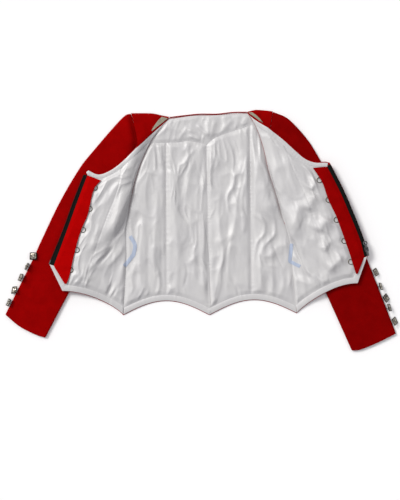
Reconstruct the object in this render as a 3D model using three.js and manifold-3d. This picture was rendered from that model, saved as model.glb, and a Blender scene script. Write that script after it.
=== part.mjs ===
// A highland dance jacket, laid open on its back with the inside up.
//
// The back lies on the floor, outside down. Each front is turned out over its own sleeve, so its satin
// lining, its red facing and half of the zip face up, and its buttons lie hidden between front and sleeve.
// Near the neck the front folds back under itself: that flap shows its outside between the neck edge and
// the sleeve head. Units are millimetres, +Z is up, +Y runs to the neck and +X to the wearer's left.
// The origin is on the floor, below the middle of the whole jacket.
import * as THREE from "three";
import { mergeVertices } from "three/addons/utils/BufferGeometryUtils.js";
import Module from "manifold-3d";

const wasm = await Module();
wasm.setup();

// ---------------------------------------------------------------- driving sizes

const GAP = 0.3; // between neighbouring pieces
const SHELL = 1.4; // wool cloth with its interlining
const SATIN = 1.0; // lining, with the seam allowances behind it
const FACING = 1.2;
const SLEEVE = 1.2;
const PIPING_RADIUS = 1.1;
const BRAID = 1.0;
const BRAID_WIDTH = 7;
const RIBBON = 0.8;
const RIBBON_WIDTH = 8;

const LINING_LIFT = SHELL + GAP; // underside of the lining above the underside of the shell
const FACING_LIFT = LINING_LIFT + SATIN + GAP;
const FACING_RISE = 2.0; // the facing's free edge stands over the split rings
const TAPE_WIDTH = 9.5;
const TEETH = 2.6; // width of the row of teeth
const FACING_SLOPE = 9; // how soon it rises, past the zip
const FLAP_BASE = LINING_LIFT + SATIN + 2 * GAP; // underside of what lies on the back's lining
const FLAP_RISE = 2.0;
const FLAP_TOP = FLAP_BASE + FLAP_RISE + SHELL;
const FRONT_PLATEAU = 12.3; // underside of the front where it lies on sleeve and buttons
const PUFF = 0.8; // the lining stands this much further off the cloth where it turns over the fold
const PUFF_WIDTH = 32;
const SHOULDER_CURL = 5; // radius of the roll along the shoulder seam

const SCALLOP_RISE = 30; // back hem, between two points
const HEM_CORNER = 0.25; // share of the front hem that is the slanting edge below the zip
const HEM_INSET = 1.3; // the red cloth shows this much below the satin
const HEM_BAND = 12;
const NECK_INSET = 2.2;
const NECK_BAND = 8.5;
const NECK_END = 0.96; // the neck bands stop short of the neck points
const TAPE_SEAM = 0.62; // how far across the tape the cloth's edge lies
const TAPE_UNDER = 3; // the tape runs this far under the facing

const BUTTON_SIDE = 15.5;
const BUTTON_PLATE = 1.2;
const BUTTON_PEAK = 2.8;
const RING_RADIUS = 5.4;
const RING_WIRE = 0.6;
const POST = 2.2; // square shank of a button, through the cloth
const ON_FLOOR = 0.15;
const SLEEVE_TOP = 6.9;

const WOOL = { color: 0xa30006, roughness: 0.85, metalness: 0 };
const SATIN_WHITE = { color: 0xe4e2e4, roughness: 0.35, metalness: 0 };
const BLACK = { color: 0x101213, roughness: 0.6, metalness: 0 };
const BRAID_GREY = { color: 0xb3ad8f, roughness: 0.6, metalness: 0.2 };
const RIBBON_BLUE = { color: 0xa9bbda, roughness: 0.4, metalness: 0 };
const SILVER = { color: 0xb9b6ae, roughness: 0.25, metalness: 1 };
const GUNMETAL = { color: 0x3a3a3c, roughness: 0.35, metalness: 1 };

// ---------------------------------------------------------------- the layout, one table for each side

// Both sides run the same way: t goes from the hem to the neck, or outwards from the neck.
// fold: where the front turns over, from the hem's side point up the side seam and armhole to the neck.
// lift: what the front stands on at each height, base at the fold and reach to its full height.
const LAYOUT = {
  right: {
    sign: -1,
    fold: [
      { t: 0, x: -165, y: -180 },
      { t: 0.26, x: -158, y: -67 },
      { t: 0.45, x: -158, y: 10 },
      { t: 0.57, x: -152, y: 56 },
      { t: 0.74, x: -135, y: 122 },
      { t: 0.9, x: -103, y: 192 },
      { t: 1, x: -67, y: 237 },
    ],
    lift: [
      { y: -180, base: 0, reach: 130 },
      { y: -60, base: 0, reach: 92 },
      { y: 0, base: 0, reach: 36 },
      { y: 18, base: 1.6, reach: 24 },
      { y: 34, base: FLAP_BASE, reach: 20 },
      { y: 240, base: FLAP_BASE, reach: 20 },
    ],
    armhole: [
      { t: 0, x: -158, y: 28 },
      { t: 0.25, x: -149, y: 80 },
      { t: 0.5, x: -139, y: 130 },
      { t: 0.74, x: -133, y: 180 },
      { t: 0.87, x: -138, y: 210 },
      { t: 1, x: -148, y: 245 },
    ],
    neck: [
      { t: 0, x: -245, y: 120 },
      { t: 0.06, x: -237, y: 127, corner: true },
      { t: 0.17, x: -216, y: 118 },
      { t: 0.29, x: -194, y: 125 },
      { t: 0.42, x: -171, y: 141 },
      { t: 0.59, x: -142, y: 169 },
      { t: 0.83, x: -103, y: 208 },
      { t: 1, x: -67, y: 237 },
    ],
    shoulderLine: [
      { t: 0, x: -67, y: 238 },
      { t: 0.2, x: -84, y: 241 },
      { t: 0.5, x: -104, y: 245 },
      { t: 1, x: -148, y: 245.5 },
    ],
    zipOuter: [
      { t: 0, x: -320, y: -71 },
      { t: 0.37, x: -291, y: 0 },
      { t: 0.69, x: -269, y: 61 },
      { t: 1, x: -247, y: 117 },
    ],
    zipInner: [
      { t: 0, x: -309, y: -75 },
      { t: 0.37, x: -281, y: 0 },
      { t: 0.69, x: -259, y: 61 },
      { t: 1, x: -238, y: 116 },
    ],
    facingEdge: [
      { t: 0, x: -282, y: -113 },
      { t: 0.06, x: -277, y: -100 },
      { t: 0.3, x: -265, y: -47 },
      { t: 0.5, x: -252, y: -2 },
      { t: 0.65, x: -238, y: 31 },
      { t: 0.9, x: -224, y: 86 },
      { t: 1, x: -207, y: 106 },
    ],
    frontCorner: { x: -292, y: -129 },
    frontHemPower: 0.8,
    princess: [
      { t: 0, x: -249, y: -133 },
      { t: 0.2, x: -238, y: -86 },
      { t: 0.42, x: -219, y: -32 },
      { t: 0.62, x: -196, y: 31 },
      { t: 0.8, x: -175, y: 84 },
      { t: 1, x: -163, y: 149 },
    ],
    sleeveOuter: [
      { t: 0, x: -413, y: -178 },
      { t: 0.27, x: -356, y: -63 },
      { t: 0.37, x: -337, y: -21 },
      { t: 0.56, x: -297, y: 62 },
      { t: 0.72, x: -255, y: 133 },
      { t: 0.81, x: -227, y: 168 },
      { t: 0.94, x: -182, y: 220 },
      { t: 0.98, x: -160, y: 242 },
      { t: 1, x: -149, y: 245 },
    ],
    sleeveInner: [
      { t: 0, x: -329, y: -227 },
      { t: 0.36, x: -278, y: -130 },
      { t: 0.58, x: -245, y: -72 },
      { t: 0.8, x: -206, y: -20 },
      { t: 1, x: -160, y: 26 },
    ],
    cuff: [
      { t: 0, x: -413, y: -178 },
      { t: 0.35, x: -383, y: -203 },
      { t: 0.7, x: -350, y: -220 },
      { t: 1, x: -329, y: -227 },
    ],
    rings: [
      { x: -274, y: -84 },
      { x: -261, y: -42 },
      { x: -248, y: 0 },
      { x: -234, y: 44 },
      { x: -223, y: 88 },
    ],
    // out: from the sleeve's edge to the button's middle; rest: what its lowest corner lies on;
    // tilt: its face turned away from straight up.
    cuffButtons: [
      { t: 0.288, out: 0.8, rest: SLEEVE_TOP, turn: 24, tilt: 8 },
      { t: 0.234, out: 3.6, rest: ON_FLOOR, turn: 8, tilt: 70 },
      { t: 0.178, out: 5.2, rest: ON_FLOOR, turn: 14, tilt: 58 },
      { t: 0.115, out: 5.4, rest: ON_FLOOR, turn: 26, tilt: 44 },
      { t: 0.055, out: 4.4, rest: ON_FLOOR, turn: 8, tilt: 60 },
    ],
    braid: [
      { t: 0, x: -107.5, y: 209 },
      { t: 0.35, x: -102.5, y: 219 },
      { t: 0.7, x: -94, y: 229.5 },
      { t: 1, x: -83, y: 237 },
    ],
    ribbon: [
      { t: 0, x: -150, y: -13 },
      { t: 0.3, x: -140, y: -32 },
      { t: 0.55, x: -143, y: -52, corner: true },
      { t: 1, x: -162, y: -76 },
    ],
  },
  left: {
    sign: 1,
    fold: [
      { t: 0, x: 201, y: -176 },
      { t: 0.2, x: 192, y: -95 },
      { t: 0.36, x: 186, y: -32 },
      { t: 0.51, x: 171, y: 29 },
      { t: 0.62, x: 157, y: 80 },
      { t: 0.73, x: 142, y: 126 },
      { t: 0.83, x: 131, y: 172 },
      { t: 0.93, x: 115, y: 217 },
      { t: 1, x: 96, y: 248 },
    ],
    lift: [
      { y: -176, base: 0, reach: 84 },
      { y: -60, base: 0, reach: 50 },
      { y: 0, base: 0, reach: 28 },
      { y: 14, base: 1.8, reach: 22 },
      { y: 30, base: FLAP_BASE, reach: 20 },
      { y: 250, base: FLAP_BASE, reach: 20 },
    ],
    armhole: [
      { t: 0, x: 173.5, y: 24 },
      { t: 0.25, x: 162, y: 80 },
      { t: 0.5, x: 150, y: 130 },
      { t: 0.74, x: 144, y: 180 },
      { t: 0.87, x: 145, y: 213 },
      { t: 1, x: 150, y: 249 },
    ],
    neck: [
      { t: 0, x: 269, y: 141 },
      { t: 0.04, x: 261, y: 143, corner: true },
      { t: 0.15, x: 238, y: 143 },
      { t: 0.25, x: 219, y: 150 },
      { t: 0.38, x: 198, y: 167 },
      { t: 0.52, x: 174, y: 189 },
      { t: 0.66, x: 150, y: 208 },
      { t: 0.8, x: 128, y: 225 },
      { t: 1, x: 96, y: 248 },
    ],
    shoulderLine: [
      { t: 0, x: 96, y: 248.5 },
      { t: 0.15, x: 104, y: 250.5 },
      { t: 0.4, x: 117, y: 252.5 },
      { t: 1, x: 150, y: 249.5 },
    ],
    zipOuter: [
      { t: 0, x: 349, y: -54 },
      { t: 0.16, x: 341, y: -20 },
      { t: 0.47, x: 316, y: 44 },
      { t: 0.68, x: 298, y: 84 },
      { t: 1, x: 270, y: 139 },
    ],
    zipInner: [
      { t: 0, x: 341, y: -56 },
      { t: 0.16, x: 332, y: -21 },
      { t: 0.47, x: 307, y: 41 },
      { t: 0.68, x: 290, y: 80 },
      { t: 1, x: 262, y: 134 },
    ],
    facingEdge: [
      { t: 0, x: 323, y: -92 },
      { t: 0.2, x: 308, y: -44 },
      { t: 0.4, x: 292, y: 1 },
      { t: 0.52, x: 282, y: 28 },
      { t: 0.7, x: 265, y: 64 },
      { t: 0.85, x: 253, y: 98 },
      { t: 1, x: 231, y: 133 },
    ],
    frontCorner: { x: 328, y: -113 },
    frontHemPower: 0.9,
    princess: [
      { t: 0, x: 272, y: -124 },
      { t: 0.14, x: 264, y: -84 },
      { t: 0.3, x: 255, y: -42 },
      { t: 0.46, x: 241, y: 10 },
      { t: 0.65, x: 220, y: 65 },
      { t: 0.86, x: 190, y: 133 },
      { t: 1, x: 172, y: 184 },
    ],
    sleeveOuter: [
      { t: 0, x: 410, y: -218 },
      { t: 0.32, x: 351, y: -66 },
      { t: 0.48, x: 316, y: 17 },
      { t: 0.64, x: 281, y: 94 },
      { t: 0.75, x: 252, y: 145 },
      { t: 0.8, x: 238, y: 169 },
      { t: 0.85, x: 225, y: 189 },
      { t: 0.92, x: 201, y: 217 },
      { t: 0.96, x: 179, y: 237 },
      { t: 1, x: 151, y: 249 },
    ],
    sleeveInner: [
      { t: 0, x: 317, y: -254 },
      { t: 0.42, x: 262, y: -131 },
      { t: 0.67, x: 228, y: -60 },
      { t: 0.85, x: 200, y: -12 },
      { t: 1, x: 176, y: 22 },
    ],
    cuff: [
      { t: 0, x: 410, y: -218 },
      { t: 0.4, x: 374, y: -236 },
      { t: 0.8, x: 335, y: -252 },
      { t: 1, x: 317, y: -254 },
    ],
    rings: [
      { x: 313, y: -67 },
      { x: 299, y: -23 },
      { x: 283, y: 21 },
      { x: 266, y: 63 },
      { x: 247, y: 104 },
    ],
    cuffButtons: [
      { t: 0.268, out: 6.0, rest: ON_FLOOR, turn: 4, tilt: 48 },
      { t: 0.207, out: 4.7, rest: ON_FLOOR, turn: -14, tilt: 62 },
      { t: 0.153, out: 6.7, rest: ON_FLOOR, turn: 16, tilt: 40 },
      { t: 0.1115, out: 5.6, rest: ON_FLOOR, turn: -12, tilt: 58 },
      { t: 0.05, out: 6.3, rest: ON_FLOOR, turn: 6, tilt: 46 },
    ],
    braid: [
      { t: 0, x: 129, y: 227.5 },
      { t: 0.4, x: 121, y: 237 },
      { t: 0.75, x: 113, y: 244 },
      { t: 1, x: 105, y: 246.5 },
    ],
    ribbon: [
      { t: 0, x: 190, y: -29 },
      { t: 0.55, x: 186, y: -66, corner: true },
      { t: 1, x: 207, y: -77 },
    ],
  },
};

// The back neck edge, from the wearer's right to the left.
const BACK_NECK = [
  { t: 0, x: -67, y: 237 },
  { t: 0.2, x: -34, y: 241 },
  { t: 0.4, x: -3, y: 244 },
  { t: 0.6, x: 32, y: 244 },
  { t: 0.8, x: 66, y: 247.5 },
  { t: 1, x: 96, y: 248 },
];

// The lower seam of the satin neck facing inside the back.
const NECK_FACING_SEAM = [
  { t: 0, x: -116, y: 183 },
  { t: 0.28, x: -53, y: 185 },
  { t: 0.4, x: -26, y: 188 },
  { t: 0.55, x: 11, y: 180, corner: true },
  { t: 0.63, x: 29, y: 195 },
  { t: 0.8, x: 71, y: 210 },
  { t: 1, x: 119, y: 226 },
];

// The back's three inner seams, from the hem to the top: x at the hem, at the neck facing and at the top.
const BACK_SEAMS = {
  princessRight: { hem: -74, facing: -74, top: -84 },
  centre: { hem: 17, facing: 11, top: 12 },
  princessLeft: { hem: 105, facing: 102, top: 104 },
};

// Folds of the lining, each a soft ridge from (x0, y0) to (x1, y1): height above the rest, and half width.
const BACK_FOLDS = [
  { x0: -97, y0: -120, x1: -92, y1: 90, height: 3.2, width: 9 },
  { x0: -128, y0: -140, x1: -126, y1: 20, height: 2.6, width: 9 },
  { x0: -52, y0: -118, x1: -56, y1: 130, height: 3.0, width: 10 },
  { x0: -18, y0: -130, x1: -22, y1: 60, height: 2.4, width: 8 },
  { x0: -34, y0: 60, x1: -12, y1: 168, height: 2.4, width: 7 },
  { x0: 8, y0: -150, x1: 3, y1: 40, height: 2.6, width: 7 },
  { x0: 6, y0: 60, x1: 22, y1: 176, height: 3.2, width: 8 },
  { x0: 38, y0: -120, x1: 40, y1: 110, height: 2.8, width: 9 },
  { x0: 62, y0: -110, x1: 78, y1: 150, height: 3.0, width: 8 },
  { x0: 92, y0: -20, x1: 86, y1: 160, height: 2.4, width: 7 },
  { x0: 126, y0: -130, x1: 112, y1: 60, height: 3.2, width: 9 },
  { x0: 158, y0: -140, x1: 140, y1: 20, height: 3.0, width: 9 },
];
const FRONT_FOLDS = {
  right: [
    { x0: -180, y0: -120, x1: -150, y1: -55, height: 2.6, width: 9 },
    { x0: -226, y0: -70, x1: -166, y1: -20, height: 3.4, width: 9 },
    { x0: -190, y0: -40, x1: -152, y1: 96, height: 4.2, width: 10 },
    { x0: -214, y0: 30, x1: -172, y1: 108, height: 2.4, width: 9 },
  ],
  left: [
    { x0: 238, y0: -108, x1: 194, y1: 10, height: 4.0, width: 8 },
    { x0: 196, y0: 20, x1: 158, y1: 150, height: 3.4, width: 9 },
    { x0: 262, y0: -96, x1: 236, y1: 40, height: 2.6, width: 9 },
    { x0: 214, y0: 80, x1: 176, y1: 168, height: 2.4, width: 8 },
  ],
};
const NECK_FOLDS = [
  { x0: -78, y0: 226, x1: -40, y1: 204, height: 1.8, width: 7 },
  { x0: -12, y0: 196, x1: 4, y1: 232, height: 2.4, width: 6 },
  { x0: 18, y0: 200, x1: 12, y1: 236, height: 2.4, width: 6 },
  { x0: 48, y0: 212, x1: 66, y1: 236, height: 1.6, width: 6 },
];

// How thick a flattened sleeve is, from the cuff to the armhole.
const SLEEVE_HEIGHT = [
  { t: 0, height: 6.2 },
  { t: 0.75, height: 6.3 },
  { t: 0.86, height: 6.8 },
  { t: 0.95, height: 8.6 },
  { t: 1, height: FLAP_TOP },
];
const UNDERARM_HEIGHT = 2.75; // the sleeve thins out to this where it ends at the underarm

// ---------------------------------------------------------------- small tools

const mix = (a, b, t) => a + (b - a) * t;
const clamp = (t) => Math.min(1, Math.max(0, t));
const smooth = (t) => clamp(t) ** 2 * (3 - 2 * clamp(t));
const steps = (n, shape = (t) => t) => Array.from({ length: n + 1 }, (_, k) => shape(k / n));

// Linear interpolation of one column of a table that is sorted by another.
function lookUp(rows, by, value, column) {
  const k = rows.findIndex((row) => row[by] >= value);
  if (k === 0) return rows[0][column];
  if (k < 0) return rows[rows.length - 1][column];
  const [a, b] = [rows[k - 1], rows[k]];
  return mix(a[column], b[column], (value - a[by]) / (b[by] - a[by]));
}

// A smooth curve through a table's rows, sharp at its corner rows: t gives {x, y}.
function curve(rows) {
  const slope = (k, from, column) => {
    const ends = k === 0 || k === rows.length - 1 || rows[k].corner;
    const [a, b] = ends ? [rows[from], rows[from + 1]] : [rows[k - 1], rows[k + 1]];
    return (b[column] - a[column]) / (b.t - a.t);
  };
  return (t) => {
    let k = rows.findIndex((row) => row.t >= t) - 1;
    k = k === -2 ? rows.length - 2 : Math.max(0, k);
    const span = rows[k + 1].t - rows[k].t;
    const s = clamp((t - rows[k].t) / span);
    const value = (column) =>
      (2 * s ** 3 - 3 * s ** 2 + 1) * rows[k][column] +
      (s ** 3 - 2 * s ** 2 + s) * span * slope(k, k, column) +
      (3 * s ** 2 - 2 * s ** 3) * rows[k + 1][column] +
      (s ** 3 - s ** 2) * span * slope(k + 1, k, column);
    return { x: value("x"), y: value("y") };
  };
}

// Straight pieces between a table's rows.
const polyline = (rows) => (t) => ({ x: lookUp(rows, "t", t, "x"), y: lookUp(rows, "t", t, "y") });

// Where two paths cross: how far along each.
function crossing(first, second) {
  const COUNT = 160;
  const [a, b] = [steps(COUNT).map(first), steps(COUNT).map(second)];
  for (let i = 0; i < COUNT; i++) {
    for (let j = 0; j < COUNT; j++) {
      const [p, q] = [a[i], b[j]];
      const [px, py] = [a[i + 1].x - p.x, a[i + 1].y - p.y];
      const [qx, qy] = [b[j + 1].x - q.x, b[j + 1].y - q.y];
      const area = px * qy - py * qx;
      const s = ((q.x - p.x) * qy - (q.y - p.y) * qx) / area;
      const t = ((q.x - p.x) * py - (q.y - p.y) * px) / area;
      if (s >= 0 && s <= 1 && t >= 0 && t <= 1) return [(i + s) / COUNT, (j + t) / COUNT];
    }
  }
  throw new Error("the paths do not cross");
}

// The curve moved sideways, to its left for a positive distance, with mitred corners.
function inset(path, distance) {
  const STEP = 0.004;
  const normal = (a, b) => {
    const length = Math.hypot(b.x - a.x, b.y - a.y);
    return { x: -(b.y - a.y) / length, y: (b.x - a.x) / length };
  };
  return (t) => {
    const at = path(t);
    const before = t > STEP ? normal(path(t - STEP), at) : normal(at, path(t + STEP));
    const after = t < 1 - STEP ? normal(at, path(t + STEP)) : before;
    const mitre = distance / (1 + before.x * after.x + before.y * after.y);
    return { x: at.x + (before.x + after.x) * mitre, y: at.y + (before.y + after.y) * mitre };
  };
}

// The inset of a path with one corner, cut where the insets of its two halves cross.
function mitred(path, corner, distance) {
  const before = inset(part(path, 0, corner), distance);
  const after = inset(part(path, corner, 1), distance);
  const [end, start] = crossing(before, after);
  return (t) => (t < corner ? before((t / corner) * end) : after(mix(start, 1, (t - corner) / (1 - corner))));
}

const between = (a, b) => (t) => ({ x: mix(a(0).x, b(0).x, t), y: mix(a(0).y, b(0).y, t) });
const part = (path, from, to) => (t) => path(mix(from, to, t));
const atEnd = (path) => part(path, 1, 1);

// A four-sided area between its edges: bottom and top run along u, start and end along v.
function area({ bottom, top, start, end }) {
  const left = pinned(start, bottom(0), top(0));
  const right = pinned(end, bottom(1), top(1));
  return (u, v) => {
    const at = (axis) =>
      mix(bottom(u)[axis], top(u)[axis], v) +
      mix(left(v)[axis], right(v)[axis], u) -
      mix(mix(bottom(0)[axis], bottom(1)[axis], u), mix(top(0)[axis], top(1)[axis], u), v);
    return { x: at("x"), y: at("y") };
  };
}

// The path, moved so that it runs from one point to another.
function pinned(path, from, to) {
  const [a, b] = [path(0), path(1)];
  return (t) => ({
    x: path(t).x + mix(from.x - a.x, to.x - b.x, t),
    y: path(t).y + mix(from.y - a.y, to.y - b.y, t),
  });
}

function distanceTo(points, x, y) {
  let best = Infinity;
  for (let k = 1; k < points.length; k++) {
    const [a, b] = [points[k - 1], points[k]];
    const [dx, dy] = [b.x - a.x, b.y - a.y];
    const t = clamp(((x - a.x) * dx + (y - a.y) * dy) / (dx * dx + dy * dy));
    best = Math.min(best, Math.hypot(x - a.x - dx * t, y - a.y - dy * t));
  }
  return best;
}

// The point at height(x, y), moved out along the surface's normal.
function lifted(height, x, y, distance) {
  const STEP = 0.5;
  const slopeX = (height(x + STEP, y) - height(x - STEP, y)) / (2 * STEP);
  const slopeY = (height(x, y + STEP) - height(x, y - STEP)) / (2 * STEP);
  const normal = new THREE.Vector3(-slopeX, -slopeY, 1).normalize();
  return new THREE.Vector3(x, y, height(x, y)).addScaledVector(normal, distance);
}

// A closed wall between two grids of points that match row by row.
function wall(outer, inner) {
  const [rows, columns] = [outer.length, outer[0].length];
  const points = [...outer.flat(), ...inner.flat()];
  const index = [];
  const quad = (a, b, c, d) => index.push(a, b, c, a, c, d);
  const out = (j, i) => j * columns + i;
  const back = (j, i) => rows * columns + j * columns + i;
  for (let j = 0; j < rows - 1; j++) {
    for (let i = 0; i < columns - 1; i++) {
      quad(out(j, i), out(j, i + 1), out(j + 1, i + 1), out(j + 1, i));
      quad(back(j, i), back(j + 1, i), back(j + 1, i + 1), back(j, i + 1));
    }
    quad(out(j, 0), out(j + 1, 0), back(j + 1, 0), back(j, 0));
    const last = columns - 1;
    quad(out(j, last), back(j, last), back(j + 1, last), out(j + 1, last));
  }
  for (let i = 0; i < columns - 1; i++) {
    quad(out(0, i), back(0, i), back(0, i + 1), out(0, i + 1));
    const last = rows - 1;
    quad(out(last, i), out(last, i + 1), back(last, i + 1), back(last, i));
  }
  return facingOut(points, index);
}

// The geometry of a closed surface, with its faces turned to point out.
function facingOut(points, index) {
  let volume = 0;
  for (let k = 0; k < index.length; k += 3) {
    const [a, b, c] = [points[index[k]], points[index[k + 1]], points[index[k + 2]]];
    volume += a.dot(b.clone().cross(c));
  }
  const turned = volume < 0 ? index.toReversed() : index;
  return new THREE.BufferGeometry().setFromPoints(points).setIndex(turned);
}

// A wall over an area, lying on a height, from one lift above it to another.
function cloth(shape, height, us, vs, lift, thickness, fold = () => 0) {
  const grid = (extra) =>
    vs.map((v) =>
      (typeof us === "function" ? us(v) : us).map((u) => {
        const { x, y } = shape(u, v);
        return lifted(height, x, y, lift + extra + fold(x, y));
      }),
    );
  return wall(grid(thickness), grid(0));
}

function solid(geometry) {
  const bare = new THREE.BufferGeometry().setAttribute("position", geometry.getAttribute("position"));
  if (geometry.index) bare.setIndex(geometry.index);
  const merged = mergeVertices(bare, 1e-4);
  return new wasm.Manifold(
    new wasm.Mesh({
      numProp: 3,
      vertProperties: merged.getAttribute("position").array,
      triVerts: new Uint32Array(merged.index.array),
    }),
  );
}

function geometryOf(manifold) {
  const mesh = manifold.getMesh();
  return new THREE.BufferGeometry()
    .setAttribute("position", new THREE.BufferAttribute(mesh.vertProperties, 3))
    .setIndex(new THREE.BufferAttribute(mesh.triVerts, 1));
}

const join = (...geometries) => geometryOf(geometries.map(solid).reduce((a, b) => a.add(b)));

const jacket = new THREE.Group();

function add(name, geometry, finish) {
  const mesh = new THREE.Mesh(geometry, new THREE.MeshStandardMaterial(finish));
  mesh.name = name;
  jacket.add(mesh);
  return mesh;
}

// The height that folds add to a lining, fading out towards its edges.
const EDGE_FADE = 14;
function foldHeight(folds, edges) {
  return (x, y) => {
    const near = Math.min(...edges.map((edge) => distanceTo(edge, x, y)));
    const added = folds.map(({ x0, y0, x1, y1, height, width }) => {
      const length = Math.hypot(x1 - x0, y1 - y0);
      const t = ((x - x0) * (x1 - x0) + (y - y0) * (y1 - y0)) / length ** 2;
      const away = distanceTo([{ x: x0, y: y0 }, { x: x1, y: y1 }], x, y);
      const taper = smooth(Math.min(t, 1 - t) * 4 + 0.4);
      return height * taper * Math.exp(-((away / width) ** 2));
    });
    return Math.max(0, ...added) * smooth((near - 1) / EDGE_FADE);
  };
}

// ---------------------------------------------------------------- curves and heights of each side

const ARMHOLE_STATIONS = LAYOUT.right.armhole.map((row) => row.t); // the same on both sides
const UNDERARM = 0.5; // where the side seam ends and the armhole starts, along each fold
const SEAM_STATIONS = 4;
const SEAM_ROWS = [1, 2, 3, 4, 5, 6, 7, 8].map((k) => (k * UNDERARM) / 8);
const ROW_APART = 0.01; // rows closer than this to a piece's first one are left out
const UPPER_ROWS = [0.16, 0.32, 0.48, 0.64, 0.8, 0.9, 1];
// Rows between two heights of the fold, the same for every piece that ends there.
function rowsBetween(from, to) {
  const lower = SEAM_ROWS.filter((t) => t > from + ROW_APART);
  return [from, ...lower, ...UPPER_ROWS.map((t) => mix(UNDERARM, to, t))];
}
const floor = () => 0;
const backNeck = curve(BACK_NECK);
const facingSeam = curve(NECK_FACING_SEAM);

function sideOf(layout) {
  const side = { ...layout };
  const named = ["fold", "armhole", "neck", "shoulderLine", "zipOuter", "zipInner", "facingEdge"];
  named.push("princess", "sleeveOuter", "sleeveInner", "cuff", "braid", "ribbon");
  for (const name of named) side[name] = curve(layout[name]);
  side.armhole = polyline(layout.armhole);
  const fold = side.fold;
  side.fold = (t) => {
    if (t >= UNDERARM) return fold(t);
    const station = Math.min(SEAM_STATIONS - 1, Math.floor((t / UNDERARM) * SEAM_STATIONS));
    const [a, b] = [station, station + 1].map((k) => fold((k * UNDERARM) / SEAM_STATIONS));
    const s = (t / UNDERARM) * SEAM_STATIONS - station;
    return { x: mix(a.x, b.x, s), y: mix(a.y, b.y, s) };
  };
  side.hemPoint = side.fold(0);
  const beside = (distance) => (t) => ({ x: side.fold(t).x + side.sign * distance, y: side.fold(t).y });
  side.seamFront = beside(GAP); // the edge of the front's pieces along the fold
  side.seamBack = beside(-GAP);
  // The front hem, from below the zip round the front corner to the side point.
  side.hem = (t) => {
    const [start, corner, end] = [side.zipOuter(0), layout.frontCorner, side.hemPoint];
    if (t < HEM_CORNER) {
      const s = t / HEM_CORNER;
      return { x: mix(start.x, corner.x, s), y: mix(start.y, corner.y, s) };
    }
    const s = (1 - t) / (1 - HEM_CORNER);
    const rise = Math.sin((Math.PI / 2) * s) ** layout.frontHemPower;
    return { x: mix(end.x, corner.x, s), y: mix(end.y, corner.y, rise) };
  };
  side.neckCorner = layout.neck.find((row) => row.corner).t;
  side.inwards = -layout.sign; // turns inset distances towards the middle of the front
  side.foldLine = steps(60).map(side.fold);
  side.zipLine = steps(20).map(side.zipOuter);
  side.shoulderEdge = steps(16).map(side.shoulderLine);
  side.height = (x, y) => {
    const base = lookUp(layout.lift, "y", y, "base");
    const reach = lookUp(layout.lift, "y", y, "reach");
    const rise = smooth(distanceTo(side.foldLine, x, y) / reach);
    return mix(base, FRONT_PLATEAU, rise);
  };
  // The flap under the front, which rolls down to the shoulder seam along its top.
  side.flapHeight = (x, y) => {
    const rise = FLAP_RISE * smooth(distanceTo(side.foldLine, x, y) / 25);
    const near = clamp(distanceTo(side.shoulderEdge, x, y) / SHOULDER_CURL);
    const roll = Math.sqrt(1 - (1 - near) ** 2);
    return mix(FLAP_BASE - 1.2, FLAP_BASE + rise, 0.15 + 0.85 * roll);
  };
  return side;
}

const SIDES = { right: sideOf(LAYOUT.right), left: sideOf(LAYOUT.left) };

// The back hem: two scallops that meet in a point at the centre seam.
function backHem(t) {
  const points = [SIDES.right.hemPoint, { x: BACK_SEAMS.centre.hem, y: -180 }, SIDES.left.hemPoint];
  const [a, b] = t < 0.5 ? points.slice(0, 2) : points.slice(1);
  const s = t < 0.5 ? t * 2 : t * 2 - 1;
  return { x: mix(a.x, b.x, s), y: mix(a.y, b.y, s) + SCALLOP_RISE * Math.sin(Math.PI * s) };
}

// ---------------------------------------------------------------- the back, its lining and neck facing

// The seams that bound the four back panels, from the hem up: half a gap is left on each side of them.
function backSeam({ hem, top }, topOf, bottomOf, shift) {
  const at = (x, path) => {
    let t = 0.5;
    for (let step = 0.25; step > 1e-5; step /= 2) t += path(t).x < x ? step : -step;
    return path(t);
  };
  const [low, high] = [at(hem, bottomOf), at(top, topOf)];
  return (v) => ({ x: mix(low.x, high.x, v) + shift, y: mix(low.y, high.y, v) });
}

// The top edge of the back: right shoulder, neck and left shoulder. It stops short of the shoulders' roll.
const backTop = curve([
  { t: 0, x: -146, y: 240 },
  { t: 0.2, x: -92, y: 236 },
  { t: 0.28, x: -67, y: 235.5, corner: true },
  { t: 0.45, x: -20, y: 241.5 },
  { t: 0.6, x: 30, y: 243 },
  { t: 0.8, x: 94, y: 246.5, corner: true },
  { t: 0.88, x: 118, y: 247 },
  { t: 1, x: 149, y: 244 },
]);

// The two outer edges of the back: side seam, then armhole.
function backSide(side, from, underFront) {
  return (v) => {
    if (v > UNDERARM) return underFront((v - UNDERARM) / (1 - UNDERARM));
    return side.seamBack(mix(from, UNDERARM, v / UNDERARM));
  };
}

function backPanels(bottom, top, sides, seamColumns, kind, build) {
  const inner = ["princessRight", "centre", "princessLeft"].map((name) => BACK_SEAMS[name]);
  const names = ["side_back", "centre_back", "centre_back", "side_back"];
  names.forEach((name, k) => {
    const wearer = k < 2 ? "right" : "left";
    const seamAt = (seam, shift) => backSeam(seamColumns(seam), top, bottom, shift);
    const start = k === 0 ? sides.right : seamAt(inner[k - 1], GAP / 2);
    const end = k === 3 ? sides.left : seamAt(inner[k], -GAP / 2);
    const cut = (path, v) => {
      const [a, b] = [start(v).x, end(v).x];
      return (u) => {
        let t = 0.5;
        const x = mix(a, b, u);
        for (let step = 0.25; step > 1e-5; step /= 2) t += path(t).x < x ? step : -step;
        return { x, y: path(t).y };
      };
    };
    const shape = area({ bottom: cut(bottom, 0), top: cut(top, 1), start, end });
    build(`${name}_${kind}_${wearer}`, shape);
  });
}

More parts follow.
